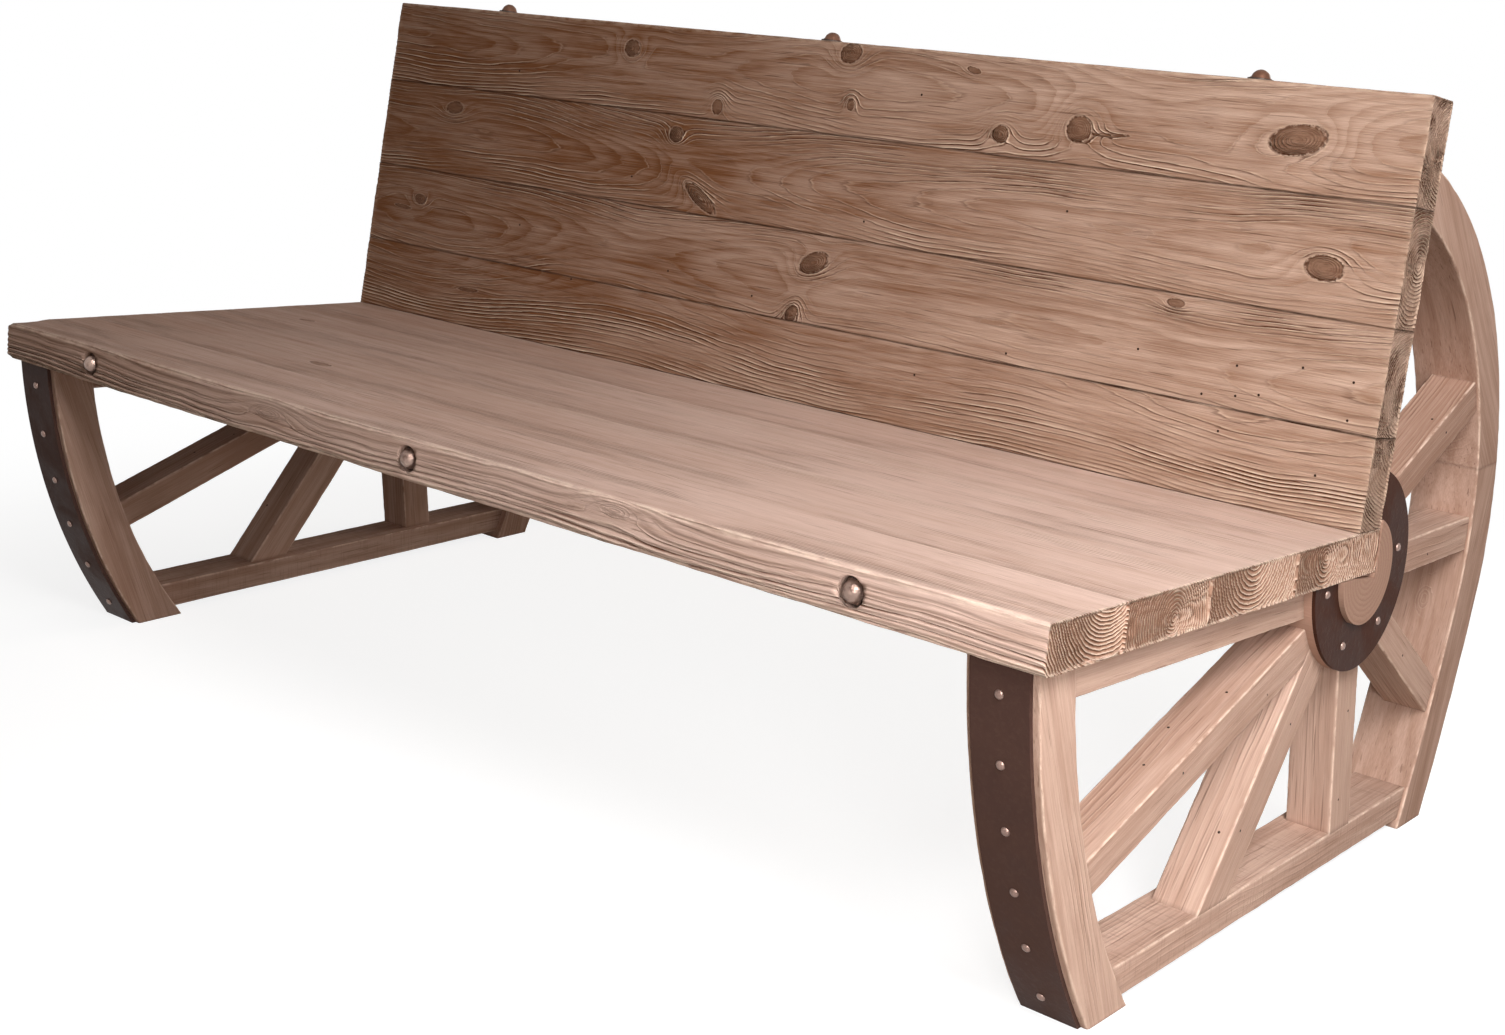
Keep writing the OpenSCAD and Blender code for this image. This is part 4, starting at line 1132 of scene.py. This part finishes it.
def felloe(node, side, curve, seed, length):
    """A curved rim piece. curve(depth, share) is its side view, from its start to its end."""
    seed = seed + LEFT_SEED * (side < 0)
    size = (length, FELLOE_WIDE, FELLOE_DEEP)
    p, n, faces = block(size, FELLOE_STEPS, (FELLOE_EASE,) * 4, 0, seed)
    share = p[:, 0] / length
    knots = ((length * 0.62, FELLOE_WIDE * 0.5, 16, 9, 0),)
    wood = timber(seed, (FELLOE_WIDE * 0.4, -70), *FELLOE_GROWTH, knots, 1, True)
    chord = curve(np.full(2, FELLOE_DEEP / 2), np.array([0.0, 1.0]))
    run = chord[1] - chord[0]
    run = run / np.linalg.norm(run)
    lift = np.array([-run[1], run[0]])
    gap = curve(FELLOE_DEEP - p[:, 2], share) - chord[0]
    grain = np.column_stack([gap @ run, p[:, 1], gap @ lift])
    count, knot = growth_rings(grain, wood)
    soft = (1 - ridge(count)) * FRAME_RELIEF
    moved = p - n * soft[:, None]
    world = np.column_stack([x_in + moved[:, 1], curve(FELLOE_DEEP - moved[:, 2], share)])
    tip = np.minimum(share, 1 - share) * length
    # Painted shade at the felloe's ends, at its joints
    grime = 0.35 * beside(tip, FELLOE_END_SHADE)
    wood_data = (count, knot, grime, REAR_FELLOE_PAINTED_SHADE * node.startswith("rear"))
    frame_piece(node, side, frame_wood, world, faces, p, size, grain, seed, *wood_data)


def by_depth(curve_at):
    """Makes a curve for points of many depths from one for a single depth."""

    def curve(depth, share):
        out = np.zeros((len(share), 2))
        for value in np.unique(np.round(depth, 2)):
            pick = np.abs(depth - value) < 0.006
            out[pick] = curve_at(value, share[pick])
        return out

    return curve


def meeting_turn(origin, forward, centre, radius):
    """Angle on a circle at which a ray from inside meets it."""
    spot = origin + forward * to_circle(origin, forward, centre, radius) - centre
    return math.atan2(spot[1], spot[0])


def on_circle(centre, radius, turns):
    return centre + radius * np.column_stack([np.cos(turns), np.sin(turns)])


@by_depth
def front_curve(depth, share):
    """Front felloe, from the seat's underside down to the floor."""
    origin = np.array([hub_c[0], underside(hub_c[0])])
    forward = np.array([-math.cos(SEAT_SLOPE), math.sin(SEAT_SLOPE)])
    r = FRONT_ARC_R - depth
    high = meeting_turn(origin, forward, front_c, r) % (2 * math.pi)
    low = math.pi + math.asin(front_c[1] / r)
    return on_circle(front_c, r, high + share * (low - high))


@by_depth
def rear_upper_curve(depth, share):
    """Upper rear felloe, from the joint up to the back's rear face."""
    origin = back_foot + BACK_THICK * np.array([math.cos(BACK_LEAN), -math.sin(BACK_LEAN)])
    forward = np.array([math.sin(BACK_LEAN), math.cos(BACK_LEAN)])
    r = REAR_ARC_R - depth
    high = meeting_turn(origin, forward, rear_c, r)
    low = math.asin((FELLOE_JOINT_Z - rear_c[1]) / r)
    return on_circle(rear_c, r, low + share * (high - low))


@by_depth
def rear_lower_curve(depth, share):
    """Lower rear felloe, from the floor up its leg and round to the joint."""
    leg_r, arc_r = REAR_LEG_R - depth, REAR_ARC_R - depth
    floor = -math.asin(leg_c[1] / leg_r)
    joint = math.asin((FELLOE_JOINT_Z - rear_c[1]) / arc_r)
    bend = -REAR_LEG_TURN
    leg_a = floor + np.clip(share / LEG_SHARE, 0, 1) * (bend - floor)
    arc_a = bend + np.clip((share - LEG_SHARE) / (1 - LEG_SHARE), 0, 1) * (joint - bend)
    leg, arc = on_circle(leg_c, leg_r, leg_a), on_circle(rear_c, arc_r, arc_a)
    return np.where((share < LEG_SHARE)[:, None], leg, arc)


def end_frame(side):
    """All wooden members of one end frame."""
    span = (spoke_x_in, spoke_x_out)
    for index, (node, degrees, shift, wide, meets) in enumerate(SPOKES):
        turn = math.radians(degrees)
        reach = spoke_reach(turn, meets, node == "front_low_spoke")
        edges = (shift - wide / 2, shift + wide / 2)
        frame_bar(node, side, hub_c, turn, edges, reach, span, 61 + 5 * index, frame_wood)
    turn = math.pi - SEAT_SLOPE
    near = HUB_ABOVE * math.cos(SEAT_SLOPE)
    edges, reach = (near, near + SEAT_RAIL_HIGH), spoke_reach(turn, "front")
    frame_bar("seat_rail", side, hub_c, turn, edges, reach, span, 97, frame_wood)
    origin, edges = np.array([hub_c[0], BOTTOM_RAIL_GAP]), (0.0, BOTTOM_RAIL_HIGH)
    span = (spoke_x_out - BOTTOM_RAIL_THICK, spoke_x_out)
    frame_bar("bottom_rail", side, origin, 0.0, edges, bottom_rail_reach, span, 103, rail_wood)
    felloe("front_felloe", side, front_curve, 111, 400.0)
    felloe("rear_upper_felloe", side, rear_upper_curve, 117, 440.0)
    felloe("rear_lower_felloe", side, rear_lower_curve, 123, 430.0)


end_frame(1)
end_frame(-1)

# Nails, bolts and nuts


def make_head_tree():
    """Geometry nodes: a domed head on a flange at every point, turned outwards."""
    group, given, out = new_group(
        "domed_heads",
        {
            "Points": "Geometry",
            "Dome radius": 0.005,
            "Dome height": 0.003,
            "Dome sides": 16,
            "Flange radius": 0.005,
            "Flange height": 0.0004,
            "Flange sides": 16,
            "Roughness": 0.0003,
            "Seed": 3,
            "Finish": "Material",
        },
        {"Heads": "Geometry"},
        "GeometryNodeTree",
    )

    def add(kind, inputs=None, result=0, **settings):
        return Signal(add_node(group, kind, inputs, **settings).outputs[result])

    def cylinder(label, depth, rings):
        inputs = {
            "Vertices": given[f"{label} sides"], "Radius": given[f"{label} radius"],
            "Depth": depth, "Fill Segments": rings,
        }
        return add("GeometryNodeMeshCylinder", inputs)

    # The top of a thin cylinder is raised to a dome, its bottom stays at the flange's foot
    place = add("GeometryNodeInputPosition")
    x, y, z = (Signal(s) for s in add_node(group, "ShaderNodeSeparateXYZ", {0: place}).outputs)
    share = (x * x + y * y).math("SQRT") / given["Dome radius"]
    rest = 1.0 - share.math("POWER", 2.0).math("MINIMUM", 1.0)
    lift = rest.math("POWER", 0.62) * given["Dome height"] + given["Flange height"]
    raised = add("ShaderNodeCombineXYZ", {0: x, 1: y, 2: lift * z.math("GREATER_THAN", 0.0)})
    dome = {"Geometry": cylinder("Dome", 0.002, 6), "Position": raised}
    dome = add("GeometryNodeSetPosition", dome)
    middle = add("ShaderNodeCombineXYZ", {2: given["Flange height"] * 0.5})
    flange = {"Geometry": cylinder("Flange", given["Flange height"], 2), "Translation": middle}
    flange = add("GeometryNodeTransform", flange)
    # A flange no wider than the dome would only double its wall, so it is left out
    wider = given["Flange radius"].math("GREATER_THAN", given["Dome radius"])
    flange = add("GeometryNodeSwitch", {"Switch": wider, "True": flange}, input_type="GEOMETRY")
    head = add_node(group, "GeometryNodeJoinGeometry", {0: dome})
    plug(flange, head.inputs[0])

    outward = add(
        "GeometryNodeInputNamedAttribute", {"Name": "outward"}, "Attribute",
        data_type="FLOAT_VECTOR",
    )
    aligned = add("FunctionNodeAlignRotationToVector", {"Vector": outward}, axis="Z")
    spin = {"Min": 0.0, "Max": 6.283, "Seed": given["Seed"]}
    spin = add("FunctionNodeRandomValue", spin, 1, data_type="FLOAT")
    spin = add("FunctionNodeAxisAngleToRotation", {"Axis": (0, 0, 1), "Angle": spin})
    turned = add("FunctionNodeRotateRotation", {0: aligned, 1: spin}, rotation_space="LOCAL")
    heads = {"Points": given["Points"], "Instance": head.outputs[0], "Rotation": turned}
    heads = add("GeometryNodeInstanceOnPoints", heads)
    heads = add("GeometryNodeRealizeInstances", {0: heads})
    dents = (add("ShaderNodeTexNoise", {"Scale": 240.0}, "Fac") - 0.65) * given["Roughness"]
    push = {0: add("GeometryNodeInputNormal"), "Scale": dents}
    push = add("ShaderNodeVectorMath", push, operation="SCALE")
    heads = add("GeometryNodeSetPosition", {"Geometry": heads, "Offset": push})
    heads = add("GeometryNodeSetMaterial", {"Geometry": heads, "Material": given["Finish"]})
    plug(heads, out.inputs[0])
    return group


domed_heads = make_head_tree()


def head_sizes(dome, flange, roughness, seed):
    """Inputs of the heads. A dome and a flange are a radius, a height and a number of sides."""
    sizes = {"Roughness": roughness * MM, "Seed": seed}
    for label, (radius, height, sides) in (("Dome", dome), ("Flange", flange)):
        sizes[f"{label} radius"] = radius * MM
        sizes[f"{label} height"] = height * MM
        sizes[f"{label} sides"] = sides
    return sizes


FOOT_HEIGHT = 0.4
STUD_SIZES = head_sizes(
    (STUD_RADIUS, STUD_HEIGHT - FOOT_HEIGHT, 14), (STUD_RADIUS, FOOT_HEIGHT, 14), 0.6, 5
)
BOLT_SIZES = head_sizes((11.9, 11.0, 22), (13.4, 6.0, 6), 2.2, 8)
NUT_SIZES = head_sizes((11.5, 9.5, 12), (12.5, 1.5, 6), 1.2, 2)
HOLE_SIZES = head_sizes((1.4, 0.1, 8), (1.6, 0.1, 7), 0.0, 4)


def set_heads(name, points, outward, sizes, material, node=None):
    """Domed heads at points in millimetres, as one plain mesh, in place of a CAD node."""
    piece = mesh_piece(name, np.array(points), [])
    add_attribute(piece.data, "outward", "FLOAT_VECTOR", np.array(outward))
    maker = piece.modifiers.new("heads", "NODES")
    maker.node_group = domed_heads
    keys = {item.name: item.identifier for item in domed_heads.interface.items_tree}
    for label, value in {**sizes, "Finish": material}.items():
        maker[keys[label]] = value
    apply_modifiers(piece)
    piece.data.shade_smooth()
    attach(piece, "root")
    if node:
        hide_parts(node)


def arc_studs(centre, radius, angles):
    """Nails on a tyre's outer face: their places in the side view, and where they point."""
    ways = [heading(a) for a in angles]
    return [centre + radius * way for way in ways], [(0.0, way[0], way[1]) for way in ways]


def stud_row(angle, step, goes_on):
    """Angles from the given one down, a step apart, as long as the row goes on."""
    row = []
    while goes_on(angle):
        row.append(angle)
        angle -= step
    return row


def stud_angles():
    """Angles of the nails on the front tyre, the rear arc and the rear leg."""

    def off_floor(centre, radius):
        return lambda a: centre[1] + radius * math.sin(a) > STUD_LOW

    first = math.asin((underside(front_y) - STUD_FIRST - front_c[1]) / FRONT_ARC_R)
    front = stud_row(first, STUD_PITCH / FRONT_ARC_R, off_floor(front_c, FRONT_ARC_R))
    step = STUD_PITCH / REAR_ARC_R
    first = REAR_TYRE_TURN - STUD_FIRST / REAR_ARC_R
    arc = stud_row(first, step, lambda a: a >= -REAR_LEG_TURN)
    left_over = (step - (arc[-1] + REAR_LEG_TURN)) * REAR_ARC_R / REAR_LEG_R
    first = -REAR_LEG_TURN - left_over
    leg = stud_row(first, STUD_PITCH / REAR_LEG_R, off_floor(leg_c, REAR_LEG_R))
    return [math.pi - a for a in front], arc, leg


def set_studs(node, points, outward):
    set_heads(f"{node}_heads", points, outward, STUD_SIZES, stud_iron, node)


def frame_studs(side):
    """The nails of one end frame: front tyre, rear tyre and hub ring."""
    label = "right" if side > 0 else "left"
    front, arc, leg = stud_angles()
    mid = (x_in + x_out) / 2
    rows = {
        "front_tyre_studs": [arc_studs(front_c, FRONT_ARC_R + TYRE_THICK, front)],
        "rear_tyre_studs": [
            arc_studs(rear_c, REAR_ARC_R + TYRE_THICK, arc),
            arc_studs(leg_c, REAR_LEG_R + TYRE_THICK, leg),
        ],
    }
    for node, stretches in rows.items():
        points, outward = [], []
        for places, directions in stretches:
            points += [(side * mid, p[0], p[1]) for p in places]
            outward += directions
        set_studs(f"{label}_{node}", points, outward)
    points = []
    for k in range(RING_STUDS):
        place = hub_c + RING_STUD_PCR * heading(math.radians(RING_STUD_TURN - RING_STUD_STEP * k))
        points.append((side * (barrel_x_out + RING_THICK), place[0], place[1]))
    set_studs(f"{label}_hub_studs", points, [(float(side), 0.0, 0.0)] * RING_STUDS)


frame_studs(1)
frame_studs(-1)


def bolt_heads():
    """Domed heads in the seat's front edge, and domed nuts on the back's crest."""
    foot = SINK_DEEP - WASHER_THICK
    points = seat_world(np.array([[x, foot, BOLT_LEVEL] for x in SEAT_BOLTS]))
    outward = [(0.0, -math.cos(SEAT_SLOPE), math.sin(SEAT_SLOPE))] * len(SEAT_BOLTS)
    set_heads(
        "seat_bolt_domes", points, outward, BOLT_SIZES, bolt_bronze,
        "seat_tie_bolts",
    )
    foot = back_high + WASHER_THICK
    points = back_world(np.array([[x, BACK_THICK / 2, foot] for x in BACK_RODS]))
    outward = [(0.0, math.sin(BACK_LEAN), math.cos(BACK_LEAN))] * len(BACK_RODS)
    set_heads(
        "back_nut_domes", points, outward, NUT_SIZES, nut_bronze,
        "back_dome_nuts",
    )


bolt_heads()
# Old nail holes seen on the back: place along, height up the back
BACK_HOLES = (
    (673, 155), (677, 121), (635, 116), (705, 127), (813, 118), (787, 52), (813, 160),
    (545, 153), (752, 166), (663, 78), (366, 118), (236, 69), (-48, 128), (-205, 140),
    (-390, 102), (-512, 166), (120, 250), (-300, 262), (420, 300), (-560, 392), (180, 420),
)
# Old nail holes in each bar: node, which face, distance from the hub, place across it
BAR_HOLES = (
    ("front_low_spoke", "top", 250, 18), ("front_low_spoke", "top", 330, 40),
    ("front_low_spoke", "top", 395, 30), ("front_low_spoke", "outer", 200, 12),
    ("front_low_spoke", "outer", 372, 26), ("front_steep_spoke", "top", 205, 30),
    ("front_steep_spoke", "top", 335, 14), ("front_steep_spoke", "outer", 190, 22),
    ("front_steep_spoke", "outer", 322, 34), ("upright_spoke", "top", 150, 20),
    ("upright_spoke", "top", 262, 14), ("upright_spoke", "top", 290, 38),
    ("upright_spoke", "outer", 175, 30), ("upright_spoke", "outer", 280, 18),
    ("rear_low_spoke", "top", 180, 30), ("rear_low_spoke", "outer", 215, 20),
    ("rear_level_spoke", "top", 170, 18), ("rear_level_spoke", "outer", 205, 14),
    ("rear_high_spoke", "top", 170, 36), ("rear_high_spoke", "top", 245, 14),
    ("rear_high_spoke", "outer", 250, 22),
)


# How deep the holes' rims are sunk into the back and into the bars
BACK_HOLE_SUNK, BAR_HOLE_SUNK = 0.35, 0.25


def nail_holes():
    """Small dark discs for old nail holes, their colour painted shade of the holes' insides, set
    just into the faces of the back and the spokes.
    """
    lean = (0.0, -math.cos(BACK_LEAN), math.sin(BACK_LEAN))
    spots = np.array([[x, BACK_HOLE_SUNK, h] for x, h in BACK_HOLES], dtype=float)
    ways = [lean] * len(spots)
    set_heads("back_nail_holes", back_world(spots), ways, HOLE_SIZES, painted_hole_shade)
    bars = {bar[0]: bar[1:4] for bar in SPOKES}
    for side, label in ((1, "right"), (-1, "left")):
        points, outward = [], []
        for node, face, along, place in BAR_HOLES:
            degrees, shift, wide = bars[node]
            turn = math.radians(degrees)
            forward, sideways = heading(turn), across(turn)
            up = 1 if sideways[1] > 0 else -1
            if face == "top":
                offset = shift + up * (wide / 2 - BAR_HOLE_SUNK)
                x = spoke_x_out - place
                normal = (0.0, up * sideways[0], up * sideways[1])
            else:
                offset = shift - up * wide / 2 + up * place
                x = spoke_x_out - BAR_HOLE_SUNK
                normal = (float(side), 0.0, 0.0)
            spot = hub_c + along * forward + offset * sideways
            points.append((side * x, spot[0], spot[1]))
            outward.append(normal)
        name, slot = f"{label}_nail_holes", f"{label}_frame_wood"
        set_heads(name, points, outward, HOLE_SIZES, painted_hole_shade)


nail_holes()

# Better materials on the CAD nodes that stay

KEPT = {
    hardware_steel: ("seat_bolt_washers", "seat_bolt_nuts", "back_rod_washers",
                     "back_rod_nuts", "seat_lag_screws"),
    bolt_bronze: ("back_tie_rods",),
    peg_wood: ("back_foot_dowels", "left_felloe_dowel", "right_felloe_dowel",
               "left_rim_dowel", "right_rim_dowel"),
    tyre_iron: ("left_front_tyre", "right_front_tyre", "left_rear_tyre", "right_rear_tyre"),
    ring_iron: ("left_hub_ring", "right_hub_ring"),
    hub_wood: ("left_hub_barrel", "right_hub_barrel", "left_hub_boss", "right_hub_boss"),
}
for material, names in KEPT.items():
    for name in names:
        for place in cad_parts[name].material_slots:
            place.material = material

# Floor, light and surroundings


FLOOR_REACH = 9000.0


def show_apart(tree, light, shown, output):
    """Sends one shader to the camera, reflections and glass, the other to light on the object."""
    path = add_node(tree, "ShaderNodeLightPath").outputs
    seen = Signal(path["Is Camera Ray"]).math("MAXIMUM", path["Is Glossy Ray"])
    seen = seen.math("MAXIMUM", path["Is Transmission Ray"])
    pick = {0: seen, 1: light.outputs[0], 2: shown.outputs[0]}
    pick = add_node(tree, "ShaderNodeMixShader", pick)
    add_node(tree, output, {"Surface": pick.outputs[0]})


def make_floor():
    """A pale floor that goes to white away from the bench, and keeps its shadow."""
    far = FLOOR_REACH
    corners = [(-far, -far, 0), (far, -far, 0), (far, far, 0), (-far, far, 0)]
    floor = mesh_piece("floor", np.array(corners), [(0, 1, 2, 3)])
    material = bpy.data.materials.new("pale_floor")
    material.use_nodes = True
    tree = material.node_tree
    tree.nodes.clear()
    plain = add_node(tree, "ShaderNodeBsdfDiffuse", {"Color": (0.34, 0.3, 0.26, 1)})
    faint = add_node(tree, "ShaderNodeBsdfDiffuse", {"Color": (0.3, 0.3, 0.3, 1)})
    glow = add_node(tree, "ShaderNodeEmission", {"Strength": 0.84})
    white = add_node(tree, "ShaderNodeEmission", {"Strength": 1.0})
    near = add_node(tree, "ShaderNodeAddShader", {0: faint.outputs[0], 1: glow.outputs[0]})
    place = add_node(tree, "ShaderNodeTexCoord").outputs["Object"]
    away = add_node(tree, "ShaderNodeVectorMath", {0: place}, operation="LENGTH")
    fade = Signal(away.outputs["Value"]).smooth(0.9, 1.9)
    shown = {0: fade, 1: near.outputs[0], 2: white.outputs[0]}
    shown = add_node(tree, "ShaderNodeMixShader", shown)
    show_apart(tree, plain, shown, "ShaderNodeOutputMaterial")
    floor.data.materials.append(material)


def make_world():
    """A white surround, with faint warm light from all sides."""
    world = bpy.data.worlds.new("studio")
    bpy.context.scene.world = world
    world.use_nodes = True
    tree = world.node_tree
    tree.nodes.clear()
    warm = {"Color": (1, 0.84, 0.7, 1), "Strength": 0.07}
    light = add_node(tree, "ShaderNodeBackground", warm)
    white = {"Color": (1, 1, 1, 1), "Strength": 1.0}
    seen = add_node(tree, "ShaderNodeBackground", white)
    show_apart(tree, light, seen, "ShaderNodeOutputWorld")


# Name, place, what it points at, size, watts, spread in degrees, colour
LAMPS = (
    ("key_lamp", (1.9, -1.05, 2.0), (0.6, -0.15, 0.4), 1.1, 62, 180, (1, 1, 1)),
    ("near_lamp", (2.2, -1.9, 1.0), (0.95, -0.45, 0.25), 0.8, 4.5, 60, (1, 1, 1)),
    ("fill_lamp", (0.9, -2.8, 1.0), (0.4, 0, 0.4), 1.6, 3, 180, (1, 0.86, 0.74)),
    ("rear_lamp", (0.2, 2.9, 1.15), (0, 0.3, 0.45), 1.6, 30, 180, (1, 0.92, 0.84)),
)


def add_lamp(name, place, target, size, watts, spread, colour):
    data = bpy.data.lights.new(name, "AREA")
    data.shape = "DISK"
    data.size = size
    data.energy = watts
    data.spread = math.radians(spread)
    data.color = colour
    lamp = bpy.data.objects.new(name, data)
    lamp.location = place
    lamp.rotation_mode = "QUATERNION"
    lamp.rotation_quaternion = (Vector(place) - Vector(target)).to_track_quat("Z", "Y")
    bpy.context.scene.collection.objects.link(lamp)


make_floor()
make_world()
for lamp in LAMPS:
    add_lamp(*lamp)
bpy.context.scene.view_settings.view_transform = "Standard"
